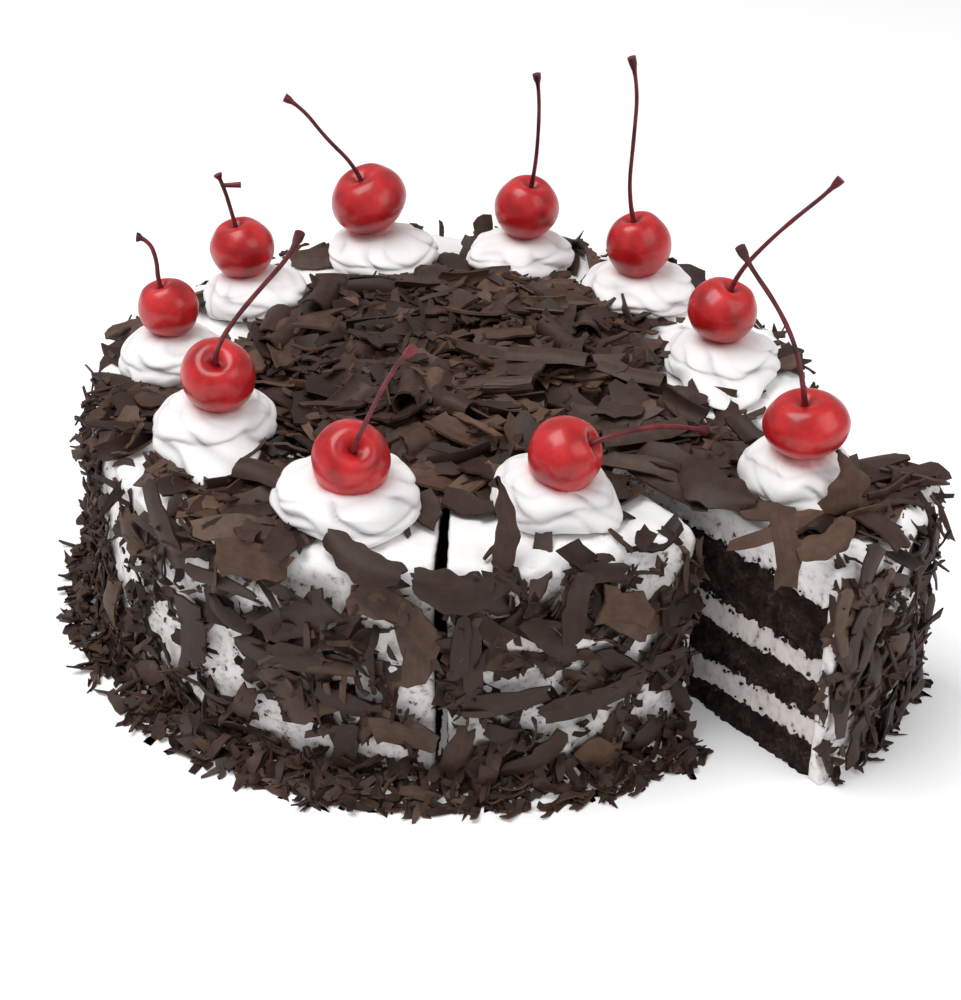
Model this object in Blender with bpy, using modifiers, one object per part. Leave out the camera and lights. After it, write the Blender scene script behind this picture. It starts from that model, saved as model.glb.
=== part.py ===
"""Black forest cake, cut for ten: a round cake with two portions cut, one of them drawn outwards.

Frame: +Z is up, Z = 0 is the face the cake rests on, the origin is the middle of the whole cake's
base, and -Y is the front. Everything is in metres.

Build-up of every piece, from the base: dark sponge, cream, dark sponge, cream, dark sponge, and a
coat of whipped cream over the top and the side. On it lie chocolate shavings, ten piped cream
rosettes and, in each rosette, a cherry on its stem.
"""

import math
from collections import namedtuple

import bmesh
import bpy
from mathutils import Matrix, Quaternion, Vector, noise

# Driving dimensions of the cake
COAT_RADIUS = 0.1205
SPONGE_RADIUS = 0.1140
CAKE_HEIGHT = 0.0770
RIM_ROUNDING = 0.0055
GAP = 0.0003

# Heights where one layer ends and the next begins, at the middle of the cake and at its rim
LAYER_ENDS = {
    "sponge_bottom": (0.0105, 0.0140),
    "cream_lower": (0.0190, 0.0225),
    "sponge_middle": (0.0340, 0.0360),
    "cream_upper": (0.0430, 0.0445),
    "sponge_top": (0.0640, 0.0630),
}
LAYER_BEND_RADIUS = 0.0700

# The cuts meet close to the middle; each piece is a sector between two cuts, and slides outwards
CUTS_MEET = Vector((0.0020, -0.0030, 0.0))
SECTOR_STEP = math.radians(9)
SECTOR_FEWEST_STEPS = 4
Piece = namedtuple("Piece", "name start end slide_angle slide skirt")
PIECES = (
    Piece("main", -17.0, 267.4, 0.0, 0.0, 0.0150),
    Piece("front", -91.2, -52.2, -71.0, 0.0012, 0.0140),
    Piece("drawn", -51.5, -17.6, -36.0, 0.0470, 0.0035),
)

# Shavings: a coat on the side that spreads into a skirt at the base, and a heap on the top
SIDE_SHAVINGS_TOP = 0.0690
SIDE_SHAVINGS_THICK = 0.0042
SKIRT_HEIGHT = 0.0130
SKIRT_SHOULDER = 0.8
SKIRT_STEP = 0.0008
HEAP_RADIUS = 0.0600
HEAP_HEIGHT = 0.0095
HEAP_EDGE_HEIGHT = 0.0030
HEAP_RINGS = 3
UNEVEN_STEP = 0.0220

# Rosettes: outline as (part of the half width, part of the height), from the foot to the tip
ROSETTE_OUTLINE = ((0.80, 0.0), (0.95, 0.12), (1.0, 0.32), (0.93, 0.55), (0.74, 0.74), (0.42, 0.93))
ROSETTE_RIDGES = 6
ROSETTE_STEPS = 24
RIDGE_DEPTH = 0.075
ROSETTE_TWIST = math.radians(75)
CREAM_ON_COAT_GAP = 0.0004

# Cherries and stems
CHERRY_SEGMENTS = 12
CHERRY_RINGS = 7
DIMPLE_DEPTH = 0.30
NEST_CLEARANCE = 1.05
STEM_THICKNESS = 0.0016
STEM_END_SCALE = 2.1
STEM_POINTS = 8
STEM_ROOT_CLEARANCE = 0.0013

# Large chocolate plates, each as big as a berry. centre: from the middle of the cake's base, or of
# the slid piece's own; heading, slope and roll in degrees; point: how narrow the far end is; curl:
# the height of the bow along the plate.
PLATE_THICKNESS = 0.0012
PLATE_CELLS = (6, 2)
PLATE_RAGGEDNESS = 0.0018
PLATE_RAG_SCALE = 7.0
Plate = namedtuple("Plate", "name piece centre length width heading slope roll point curl")
PLATES = (
    Plate("rim", "main", (-0.0255, -0.1180, 0.0790), 0.027, 0.0095, -33, -13, 34, 0.9, 0.0015),
    Plate("across_cut", "main", (0.0055, -0.1245, 0.0725), 0.030, 0.0110, 2, -2, 62, 0.55, 0.0035),
    Plate("spear", "front", (0.0170, -0.1120, 0.0880), 0.028, 0.0070, 93, 58, 0, 0.1, 0.0010),
    Plate("ledge", "drawn", (0.0715, -0.0890, 0.0845), 0.022, 0.0095, 32, 8, 30, 0.6, 0.0015),
    Plate("leaf", "drawn", (0.0805, -0.0650, 0.0900), 0.019, 0.0125, 80, 66, 0, 0.1, 0.0010),
    Plate("inner", "drawn", (0.0400, -0.0605, 0.0855), 0.028, 0.0130, -48, -4, 18, 0.7, 0.0020),
)

# One row for each portion. angle, ring: the rosette's place about the middle of the whole cake;
# width, height: the rosette; cherry, flatten: its width and its height as a part of that; seat:
# its middle, from the middle of the rosette's foot; stem: its length; directions: (azimuth,
# elevation) of the stem along its length in even steps, the first one being the cherry's own axis.
Portion = namedtuple(
    "Portion", "number piece angle ring width height cherry flatten seat stem directions")
PORTIONS = (
    Portion(1, "main", 178.8, 0.0935, 0.0355, 0.0170, 0.0205, 0.97, (0.0002, -0.001, 0.0236), 0.022,
            ((180, 75), (0, 88), (180, 74), (180, 8))),
    Portion(2, "main", 143.3, 0.0880, 0.038, 0.0145, 0.0235, 0.93, (-0.0037, 0.000, 0.0220), 0.022,
            ((180, 78), (180, 78), (180, 68))),
    Portion(3, "main", 106.7, 0.0925, 0.040, 0.0150, 0.0295, 0.80, (-0.0041, 0.001, 0.0252), 0.044,
            ((205, 70), (180, 46), (180, 55), (180, 30))),
    Portion(4, "main", 73.6, 0.0910, 0.038, 0.0140, 0.0248, 0.94, (0.002, 0.000, 0.0230), 0.045,
            ((-30, 78), (0, 86), (0, 90), (180, 80))),
    Portion(5, "main", 40.7, 0.0900, 0.039, 0.0135, 0.0237, 1.02, (-0.0007, -0.001, 0.0212), 0.062,
            ((180, 76), (0, 87), (0, 88), (180, 72))),
    Portion(6, "main", 1.8, 0.0925, 0.038, 0.0140, 0.0235, 0.93, (-0.0016, -0.001, 0.0223), 0.053,
            ((-20, 74), (0, 52), (0, 46), (0, 42), (0, 52))),
    Portion(7, "drawn", -34.8, 0.0830, 0.034, 0.0185, 0.0260, 0.75, (0.0006, -0.003, 0.0239), 0.058,
            ((200, 80), (180, 75), (180, 62), (180, 54), (180, 62))),
    Portion(8, "main", 211.6, 0.0870, 0.038, 0.0185, 0.0240, 0.90, (0.0028, -0.003, 0.0247), 0.060,
            ((-85, 56), (-22, 57), (-12, 51), (-10, 50), (-30, 68))),
    Portion(9, "main", 251.0, 0.0920, 0.042, 0.0170, 0.0240, 0.92, (0.0017, -0.0033, 0.0192), 0.050,
            ((-76, 49), (-43, 62), (-43, 62), (-36, 60), (-10, 42))),
    Portion(10, "front", -70.1, 0.0900, 0.036, 0.0175, 0.0235, 0.94, (0.0031, -0.0036, 0.0206), 0.045,
            ((-13, 30), (25, 0), (35, -14), (35, -22), (30, -26))),
)

COLLECTION_NAME = "black_forest_cake"
CUTTERS_NAME = "cutters"
SHARP_ANGLE = math.radians(40)


def clear_scene():
    """Start from an empty scene with one collection for the cake and one for the cutters."""
    for item in list(bpy.data.objects):
        bpy.data.objects.remove(item, do_unlink=True)
    for name in (COLLECTION_NAME, CUTTERS_NAME):
        collection = bpy.data.collections.new(name)
        bpy.context.scene.collection.children.link(collection)


def make_material(name, colour, roughness, coat=0.0):
    """A Principled material; food has no metal in it."""
    material = bpy.data.materials.new(name)
    material.use_nodes = True
    shader = material.node_tree.nodes["Principled BSDF"]
    shader.inputs["Base Color"].default_value = (*colour, 1.0)
    shader.inputs["Roughness"].default_value = roughness
    shader.inputs["Metallic"].default_value = 0.0
    shader.inputs["Coat Weight"].default_value = coat
    return material


def mesh_object(name, shape, material, parent=None, collection=COLLECTION_NAME):
    """Turn a bmesh into an object with outward faces, shaded smooth between its sharp edges."""
    bmesh.ops.recalc_face_normals(shape, faces=shape.faces)
    mesh = bpy.data.meshes.new(name)
    shape.to_mesh(mesh)
    shape.free()
    mesh.shade_smooth()
    mesh.set_sharp_from_angle(angle=SHARP_ANGLE)
    if material:
        mesh.materials.append(material)
    item = bpy.data.objects.new(name, mesh)
    bpy.data.collections[collection].objects.link(item)
    item.parent = parent
    return item


def piece_anchor(piece):
    """An empty that carries everything on one piece, moved outwards by the piece's slide."""
    anchor = bpy.data.objects.new("anchor_" + piece.name, None)
    bpy.data.collections[COLLECTION_NAME].objects.link(anchor)
    angle = math.radians(piece.slide_angle)
    anchor.location = Vector((math.cos(angle), math.sin(angle), 0.0)) * piece.slide
    return anchor


def on_ray(angle, radius):
    """The point at a radius from the cake's axis, on the ray that leaves where the cuts meet."""
    ray = Vector((math.cos(angle), math.sin(angle), 0.0))
    if radius <= CUTS_MEET.length:
        return CUTS_MEET.copy()
    along = CUTS_MEET.dot(ray)
    reach = math.sqrt(radius ** 2 - CUTS_MEET.length_squared + along ** 2) - along
    return CUTS_MEET + ray * reach


def sector_solid(piece, outline):
    """Sweep a closed outline of (radius, height) points from one cut of a piece to the other."""
    start, end = math.radians(piece.start), math.radians(piece.end)
    steps = max(SECTOR_FEWEST_STEPS, round((end - start) / SECTOR_STEP))
    shape = bmesh.new()
    corners = [shape.verts.new((radius, 0.0, height)) for radius, height in outline]
    section = shape.faces.new(corners)
    geometry = [section, *section.edges, *section.verts]
    bmesh.ops.spin(shape, geom=geometry, cent=(0, 0, 0), axis=(0, 0, 1), angle=end - start,
                   steps=steps, use_duplicate=False)
    for vertex in shape.verts:
        turn = math.atan2(vertex.co.y, vertex.co.x) % math.tau
        place = on_ray(start + turn, math.hypot(vertex.co.x, vertex.co.y))
        vertex.co = (place.x, place.y, vertex.co.z)
    bmesh.ops.remove_doubles(shape, verts=shape.verts, dist=GAP / 10)
    return shape


def layer_outline(bottom, top):
    """Section of a sponge or cream layer between two (middle, rim) pairs of heights."""
    return ((0.0, bottom[0]), (LAYER_BEND_RADIUS, bottom[0]), (SPONGE_RADIUS, bottom[1]),
            (SPONGE_RADIUS, top[1]), (LAYER_BEND_RADIUS, top[0]), (0.0, top[0]))


def make_layers(piece, anchor, materials):
    """The three sponges and the two creams between them, one solid each."""
    floor = (0.0, 0.0)
    for layer, ends in LAYER_ENDS.items():
        top = tuple(height - GAP for height in ends)
        material = materials["sponge" if "sponge" in layer else "filling"]
        mesh_object(f"{layer}_{piece.name}", sector_solid(piece, layer_outline(floor, top)),
                    material, anchor)
        floor = ends


def make_frosting(piece, anchor, material):
    """The cream coat: a cap on the top sponge and a wall round the side, with a rounded rim."""
    inner = SPONGE_RADIUS + GAP
    under_middle, under_rim = LAYER_ENDS["sponge_top"]
    rim = [(COAT_RADIUS - RIM_ROUNDING * (1 - math.sin(turn)),
            CAKE_HEIGHT - RIM_ROUNDING * (1 - math.cos(turn)))
           for turn in (math.radians(angle) for angle in (90, 60, 30, 0))]
    outline = [(inner, 0.0), (COAT_RADIUS, 0.0), *rim, (0.0, CAKE_HEIGHT), (0.0, under_middle),
               (LAYER_BEND_RADIUS, under_middle), (inner, under_rim)]
    mesh_object(f"frosting_{piece.name}", sector_solid(piece, outline), material, anchor)


def unevenness(place, amount):
    """A smooth bump field: the same value for the same place on every run."""
    return amount * noise.noise(place / UNEVEN_STEP)


def make_side_shavings(piece, anchor, material):
    """Shavings pressed on the side, and the skirt of fallen ones that leans on the base."""
    inner = COAT_RADIUS + GAP
    outer = inner + SIDE_SHAVINGS_THICK
    shoulder = inner + piece.skirt * SKIRT_SHOULDER
    outline = [(inner, 0.0), (inner + piece.skirt, 0.0), (shoulder, SKIRT_HEIGHT / 2),
               (outer + SKIRT_STEP, SKIRT_HEIGHT), (outer, SIDE_SHAVINGS_TOP / 2),
               (outer, SIDE_SHAVINGS_TOP - SIDE_SHAVINGS_THICK), (inner, SIDE_SHAVINGS_TOP)]
    shape = sector_solid(piece, outline)
    for vertex in shape.verts:
        radius = vertex.co.xy.length
        if radius > inner + GAP:
            push = unevenness(vertex.co, SIDE_SHAVINGS_THICK / 2)
            vertex.co.xy *= (radius + push) / radius
    mesh_object(f"shavings_side_{piece.name}", shape, material, anchor)


def make_top_shavings(piece, anchor, material):
    """The heap of shavings inside the ring of rosettes, with an uneven edge and surface."""
    floor = CAKE_HEIGHT + GAP
    outline = [(0.0, floor), (HEAP_RADIUS, floor), (HEAP_RADIUS, floor + HEAP_EDGE_HEIGHT)]
    for ring in range(1, HEAP_RINGS + 1):
        part = ring / HEAP_RINGS
        rise = HEAP_EDGE_HEIGHT + (HEAP_HEIGHT - HEAP_EDGE_HEIGHT) * math.sin(part * math.pi / 2)
        outline.append((HEAP_RADIUS * (1 - part), floor + rise))
    shape = sector_solid(piece, outline)
    for vertex in shape.verts:
        lift = vertex.co.z - floor
        if lift > GAP:
            vertex.co.z += unevenness(vertex.co, HEAP_EDGE_HEIGHT)
    mesh_object(f"shavings_top_{piece.name}", shape, material, anchor)


def rosette_shape(portion):
    """A piped swirl: a turned outline whose ridges twist on their way up."""
    shape = bmesh.new()
    half = portion.width / 2
    points = [(0.0, 0.0), *ROSETTE_OUTLINE, (0.0, 1.0)]
    chain = [shape.verts.new((part * half, 0.0, rise * portion.height)) for part, rise in points]
    edges = [shape.edges.new(pair) for pair in zip(chain, chain[1:])]
    bmesh.ops.spin(shape, geom=[*chain, *edges], cent=(0, 0, 0), axis=(0, 0, 1), angle=math.tau,
                   steps=ROSETTE_STEPS, use_merge=True)
    bmesh.ops.remove_doubles(shape, verts=shape.verts, dist=GAP / 10)
    for vertex in shape.verts:
        radius = vertex.co.xy.length
        if radius < GAP:
            continue
        turn = math.atan2(vertex.co.y, vertex.co.x) + vertex.co.z / portion.height * ROSETTE_TWIST
        vertex.co.xy *= 1 + RIDGE_DEPTH * math.cos(ROSETTE_RIDGES * turn)
    return shape


def cherry_shape(width, flatten):
    """A slightly flattened ball with a dimple where the stem goes in, its axis along +Z."""
    shape = bmesh.new()
    bmesh.ops.create_uvsphere(shape, u_segments=CHERRY_SEGMENTS, v_segments=CHERRY_RINGS,
                              radius=width / 2)
    for vertex in shape.verts:
        vertex.co.z *= flatten
        if vertex.co.z > 0 and vertex.co.xy.length < GAP:
            vertex.co.z -= width / 2 * DIMPLE_DEPTH
    return shape


def direction(azimuth, elevation):
    """Unit vector from an azimuth about +Z and an elevation above the floor, in degrees."""
    azimuth, elevation = math.radians(azimuth), math.radians(elevation)
    level = math.cos(elevation)
    return Vector((level * math.cos(azimuth), level * math.sin(azimuth), math.sin(elevation)))


def stem_points(start, length, directions):
    """Walk along a stem whose direction passes smoothly through the given ones."""
    turns = [Vector((0, 0, 1)).rotation_difference(direction(*pair)) for pair in directions]
    points = [start.copy()]
    for step in range(STEM_POINTS - 1):
        along = (step + 0.5) / (STEM_POINTS - 1) * (len(turns) - 1)
        index = int(along)
        turn = turns[index].slerp(turns[index + 1], along - index)
        points.append(points[-1] + turn @ Vector((0, 0, length / (STEM_POINTS - 1))))
    return points


def make_stem(portion, centre, material, anchor):
    """A thin stalk that widens into the knob it hung from the twig by."""
    axis = direction(*portion.directions[0])
    pole = portion.cherry / 2 * (portion.flatten - DIMPLE_DEPTH)
    start = centre + axis * (pole + STEM_ROOT_CLEARANCE)
    curve = bpy.data.curves.new(f"stem_{portion.number}", "CURVE")
    curve.dimensions = "3D"
    curve.bevel_depth = STEM_THICKNESS / 2
    curve.bevel_resolution = 1
    curve.use_fill_caps = True
    curve.materials.append(material)
    spline = curve.splines.new("POLY")
    spline.points.add(STEM_POINTS - 1)
    for index, place in enumerate(stem_points(start, portion.stem, portion.directions)):
        spline.points[index].co = (*place, 1.0)
        knob = max(0.0, (index - STEM_POINTS + 3) / 2)
        spline.points[index].radius = 1 + (STEM_END_SCALE - 1) * knob
    stem = bpy.data.objects.new(f"stem_{portion.number}", curve)
    bpy.data.collections[COLLECTION_NAME].objects.link(stem)
    stem.parent = anchor


def make_topping(portion, anchor, materials):
    """One portion's rosette, with a nest pressed into it by the cherry, the cherry and its stem."""
    angle = math.radians(portion.angle)
    foot = Vector((portion.ring * math.cos(angle), portion.ring * math.sin(angle),
                   CAKE_HEIGHT + CREAM_ON_COAT_GAP))
    centre = foot + Vector(portion.seat)
    axis_turn = Vector((0, 0, 1)).rotation_difference(direction(*portion.directions[0]))

    rosette = mesh_object(f"rosette_{portion.number}", rosette_shape(portion),
                          materials["cream"], anchor)
    rosette.location = foot
    rosette.rotation_euler.z = angle

    cherry = mesh_object(f"cherry_{portion.number}", cherry_shape(portion.cherry, portion.flatten),
                         materials["cherry"], anchor)
    nest = mesh_object(f"nest_{portion.number}", cherry_shape(portion.cherry, portion.flatten),
                       None, anchor, CUTTERS_NAME)
    nest.data.transform(Matrix.Scale(NEST_CLEARANCE, 4))
    nest.display_type = "WIRE"
    nest.hide_render = True
    for ball in (cherry, nest):
        ball.location = centre
        ball.rotation_mode = "QUATERNION"
        ball.rotation_quaternion = Quaternion(axis_turn)
    press = rosette.modifiers.new("nest", "BOOLEAN")
    press.operation = "DIFFERENCE"
    press.object = nest

    make_stem(portion, centre, materials["stem"], anchor)


def make_plate(plate, anchor, material):
    """A large shaving: a thin plate with a ragged edge, narrower at its far end and slightly bowed."""
    shape = bmesh.new()
    cells_along, cells_across = PLATE_CELLS
    bmesh.ops.create_grid(shape, x_segments=cells_along, y_segments=cells_across, size=0.5)
    centre = Vector(plate.centre)
    for vertex in shape.verts:
        along, across = vertex.co.x, vertex.co.y
        narrowing = 1 + (plate.point - 1) * (along + 0.5) ** 2
        ragged = noise.noise((centre + vertex.co) * PLATE_RAG_SCALE) * PLATE_RAGGEDNESS
        bow = plate.curl * (1 - (2 * along) ** 2)
        vertex.co = (plate.length * along, (plate.width * narrowing + ragged) * across, bow)
    item = mesh_object("plate_" + plate.name, shape, material, anchor)
    thicken = item.modifiers.new("thickness", "SOLIDIFY")
    thicken.thickness = PLATE_THICKNESS
    thicken.offset = 0.0
    item.location = centre
    item.rotation_euler = (math.radians(plate.roll), -math.radians(plate.slope),
                           math.radians(plate.heading))


def build_cake():
    """Make every piece with its layers, coat and shavings, then the toppings on them."""
    clear_scene()
    materials = {
        "sponge": make_material("dark_sponge", (0.016, 0.007, 0.005), 0.95),
        "filling": make_material("cream_filling", (0.62, 0.57, 0.55), 0.6),
        "cream": make_material("whipped_cream", (0.86, 0.85, 0.84), 0.5),
        "chocolate": make_material("dark_chocolate", (0.045, 0.025, 0.018), 0.45),
        "cherry": make_material("glazed_cherry", (0.50, 0.010, 0.012), 0.25, coat=0.5),
        "stem": make_material("cherry_stem", (0.08, 0.012, 0.014), 0.5),
    }
    anchors = {}
    for piece in PIECES:
        anchor = anchors[piece.name] = piece_anchor(piece)
        make_layers(piece, anchor, materials)
        make_frosting(piece, anchor, materials["cream"])
        make_side_shavings(piece, anchor, materials["chocolate"])
        make_top_shavings(piece, anchor, materials["chocolate"])
    for portion in PORTIONS:
        make_topping(portion, anchors[portion.piece], materials)
    for plate in PLATES:
        make_plate(plate, anchors[plate.piece], materials["chocolate"])


build_cake()
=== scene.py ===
"""Looks of a black forest cake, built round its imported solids.

The script follows the cake as it is put together: sponge and filling, cream coat, shavings on the
side and on the top, piped rosettes, cherries and stems, then the floor, the lights and the camera.
Everything is in metres, +Z is up and -Y is the front of the cake.
"""

import math
import random
from collections import namedtuple

import bmesh
import bpy
import numpy as np
from mathutils import Matrix, Vector, noise


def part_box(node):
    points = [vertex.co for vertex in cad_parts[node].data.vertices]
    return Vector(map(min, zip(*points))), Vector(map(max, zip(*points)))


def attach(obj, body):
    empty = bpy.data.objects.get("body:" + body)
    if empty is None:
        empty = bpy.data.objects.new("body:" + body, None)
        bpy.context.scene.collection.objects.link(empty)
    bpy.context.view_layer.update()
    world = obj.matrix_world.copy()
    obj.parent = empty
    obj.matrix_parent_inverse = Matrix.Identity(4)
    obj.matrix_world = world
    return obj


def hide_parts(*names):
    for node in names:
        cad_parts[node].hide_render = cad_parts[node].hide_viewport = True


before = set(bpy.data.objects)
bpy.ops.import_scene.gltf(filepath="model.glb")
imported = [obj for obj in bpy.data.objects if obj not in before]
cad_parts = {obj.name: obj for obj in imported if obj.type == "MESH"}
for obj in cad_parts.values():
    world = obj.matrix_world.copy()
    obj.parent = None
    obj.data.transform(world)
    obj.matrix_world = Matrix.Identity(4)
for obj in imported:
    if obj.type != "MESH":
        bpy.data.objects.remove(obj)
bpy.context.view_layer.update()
bpy.context.scene.view_settings.view_transform = "Standard"

# ---------------------------------------------------------------------------------------------
# Sponge layers: dark cocoa sponge, baked in a round tin, split and stacked. The knife tears the
# crumb, so a cut face is open and ragged, and its edges are pulled into the cream beside them.
# ---------------------------------------------------------------------------------------------
MM = 0.001
SPONGE_RADIUS = 114 * MM
COAT_RADIUS = 120.5 * MM
CAKE_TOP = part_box("frosting_main")[1].z
CUTS_MEET = Vector((2 * MM, -3 * MM, 0))

# Heights where one layer ends and the next begins, at the middle of the cake and at its rim
LAYER_ENDS = {
    "sponge_bottom": (10.5 * MM, 14.0 * MM),
    "cream_lower": (19.0 * MM, 22.5 * MM),
    "sponge_middle": (34.0 * MM, 36.0 * MM),
    "cream_upper": (43.0 * MM, 44.5 * MM),
    "sponge_top": (64.0 * MM, 63.0 * MM),
}
LAYER_BEND_RADIUS = 70 * MM

# Each piece is a sector between two cuts, in degrees, and has slid outwards along a direction.
# hangs: how much of a shaving's length may hang over the first and the second cut
Piece = namedtuple("Piece", "name start end slide hangs")
PIECES = (
    Piece("main", -17.0, 267.4, Vector((0, 0, 0)), (0.42, -0.25)),
    Piece("front", -91.2, -52.2, Vector((0.39 * MM, -1.13 * MM, 0)), (-0.25, 0.35)),
    Piece("drawn", -51.5, -17.6, Vector((38.02 * MM, -27.63 * MM, 0)), (0.42, 0.30)),
)
CUT_CELL = 0.8 * MM


def on_ray(angle, radius):
    """The place at a radius from the cake's axis, on the ray that leaves where the cuts meet."""
    if radius <= CUTS_MEET.length:
        return CUTS_MEET.copy()
    ray = Vector((math.cos(angle), math.sin(angle), 0))
    along = CUTS_MEET.dot(ray)
    reach = math.sqrt(radius ** 2 - CUTS_MEET.length_squared + along ** 2) - along
    return CUTS_MEET + ray * reach


def wavy(place, size, seed=0.0):
    """A smooth random number from about -1 to 1 that changes over a distance of one size."""
    return noise.noise(Vector((place[0] / size, place[1] / size, place[2] / size + seed)))


def layer_end(layer, spot):
    """Height of the ragged border above a layer."""
    middle, rim = LAYER_ENDS[layer]
    part = (spot.xy.length - LAYER_BEND_RADIUS) / (SPONGE_RADIUS - LAYER_BEND_RADIUS)
    height = middle + (rim - middle) * min(1.0, max(0.0, part))
    flat = Vector((spot.x, spot.y, height))
    torn = 1.5 * wavy(flat, 1.3 * MM, 3.0) + 1.3 * wavy(flat, 3.5 * MM) + 1.5 * wavy(flat, 13 * MM)
    return height + torn * MM


def sponge_reach(height):
    """Radius of the sponge at a height: the layers were baked and cut a little unequally."""
    return SPONGE_RADIUS + 2.6 * MM + 1.6 * MM * noise.noise(Vector((0, 0, height / (7 * MM))))


def torn_crumb(place):
    """How far the knife pulled the crumb in or out of a cut face."""
    pull = 1.3 * MM * wavy(place, 1.7 * MM) + 0.9 * MM * wavy(place, 5 * MM) - 0.5 * MM
    return min(pull, 0.3 * MM)


def smeared_cream(place):
    """A cut through cream is smooth, with shallow upright drag marks."""
    marks = Vector((place.x, place.y, place.z / 6))
    return 0.15 * MM * wavy(marks, 2.6 * MM) + 0.4 * MM * wavy(place, 5 * MM) - 0.1 * MM


def sector(piece, section, cells, steps, relief):
    """Sweep a grid section through a piece. section(across, up, spot_at) gives a vertex's place
    from its grid place and a function from radius to spot; relief shapes the two cut faces. A vertex
    attribute is 1 on a narrow cut, where the materials paint near black shade for the narrow gap."""
    start, end = math.radians(piece.start), math.radians(piece.end)
    sweep = end - start
    shape = bmesh.new()
    bmesh.ops.create_grid(shape, x_segments=cells[0], y_segments=cells[1], size=0.5)
    for vertex in shape.verts:
        vertex.co = (1.5 + vertex.co.x, 0, 0.5 + vertex.co.y)
    bmesh.ops.spin(shape, geom=[*shape.verts, *shape.edges, *shape.faces], cent=(0, 0, 0),
                   axis=(0, 0, 1), angle=sweep, steps=steps, use_duplicate=False)
    painted_kerf_shade = shape.verts.layers.float.new("painted_kerf_shade")
    for vertex in shape.verts:
        turn = math.atan2(vertex.co.y, vertex.co.x) % math.tau
        if turn > sweep + 0.01:
            turn = 0.0
        angle = start + turn
        place = section(vertex.co.xy.length - 1, vertex.co.z, lambda radius: on_ray(angle, radius))
        side = -1 if turn < 0.001 else 1 if turn > sweep - 0.001 else 0
        if side and place.xy.length > 2 * CUTS_MEET.length:
            place += Vector((-math.sin(angle), math.cos(angle), 0)) * side * relief(place)
            # painted shade mark: 1 on the faces of a narrow cut, which lie in the gap's shadow
            vertex[painted_kerf_shade] = piece.hangs[side > 0] < 0
        vertex.co = place + piece.slide
    bmesh.ops.remove_doubles(shape, verts=shape.verts, dist=0.02 * MM)
    bmesh.ops.recalc_face_normals(shape, faces=shape.faces)
    return shape


def new_piece(name, shape, material, nodes=(), sharp=60):
    """Turn a bmesh or a mesh into a smooth piece that rides with the cake and replaces nodes."""
    mesh = shape
    if isinstance(shape, bmesh.types.BMesh):
        mesh = bpy.data.meshes.new(name)
        shape.to_mesh(mesh)
        shape.free()
    mesh.shade_smooth()
    mesh.set_sharp_from_angle(angle=math.radians(sharp))
    mesh.materials.append(material)
    item = bpy.data.objects.new(name, mesh)
    bpy.context.scene.collection.objects.link(item)
    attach(item, "root")
    if nodes:
        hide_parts(*nodes)
    return item


def linear(colour):
    """An sRGB hex colour as the linear colour that sockets take."""
    parts = [int(colour[place:place + 2], 16) / 255 for place in (1, 3, 5)]
    return (*(p / 12.92 if p <= 0.04045 else ((p + 0.055) / 1.055) ** 2.4 for p in parts), 1.0)


def add_node(tree, kind, inputs=None, stops=None, **settings):
    """Add a node with its settings, its inputs (a value, or an output to link) and ramp stops."""
    node = tree.nodes.new(kind)
    for name, value in settings.items():
        setattr(node, name, value)
    for name, value in (inputs or {}).items():
        if isinstance(value, bpy.types.NodeSocket):
            tree.links.new(value, node.inputs[name])
        else:
            node.inputs[name].default_value = value
    if stops:
        ramp = node.color_ramp
        while len(ramp.elements) < len(stops):
            ramp.elements.new(0.5)
        for element, (position, colour) in zip(ramp.elements, stops):
            element.position = position
            element.color = linear(colour)
    return node


def new_material(name, **sockets):
    """A material with its Principled shader's constants set on the shader's own sockets."""
    material = bpy.data.materials.new(name)
    material.use_nodes = True
    tree = material.node_tree
    shader = tree.nodes["Principled BSDF"]
    for socket, value in sockets.items():
        shader.inputs[socket.replace("_", " ")].default_value = value
    return material, tree, shader


# Cocoa sponge: torn crumb is matt and nearly black with blotches of varied tone; the noise that raises
# the bumps also paints raised crumbs paler brown as painted light and the pits darker as painted shade
sponge_material, tree, shader = new_material("dark_cocoa_sponge_torn", Roughness=0.95,
                                             IOR=1.4, Specular_IOR_Level=0.15)
place = add_node(tree, "ShaderNodeTexCoord").outputs["Object"]
crumb = add_node(tree, "ShaderNodeTexNoise", {"Vector": place, "Scale": 900, "Detail": 4,
                                              "Roughness": 0.65})
blotch = add_node(tree, "ShaderNodeTexNoise", {"Vector": place, "Scale": 180, "Detail": 2})
mixed = add_node(tree, "ShaderNodeMath", {0: crumb.outputs["Fac"], 1: blotch.outputs["Fac"]},
                 operation="MULTIPLY_ADD")
mixed.inputs[2].default_value = 0.0
colour = add_node(tree, "ShaderNodeValToRGB", {"Fac": mixed.outputs[0]},
                  stops=((0.15, "#1d1513"), (0.26, "#2f2420"), (0.36, "#40332e"), (0.5, "#5a4a42")))
tree.links.new(colour.outputs["Color"], shader.inputs["Base Color"])
bump = add_node(tree, "ShaderNodeBump", {"Height": crumb.outputs["Fac"], "Strength": 0.8,
                                         "Distance": 0.6 * MM})
tree.links.new(bump.outputs["Normal"], shader.inputs["Normal"])
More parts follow.
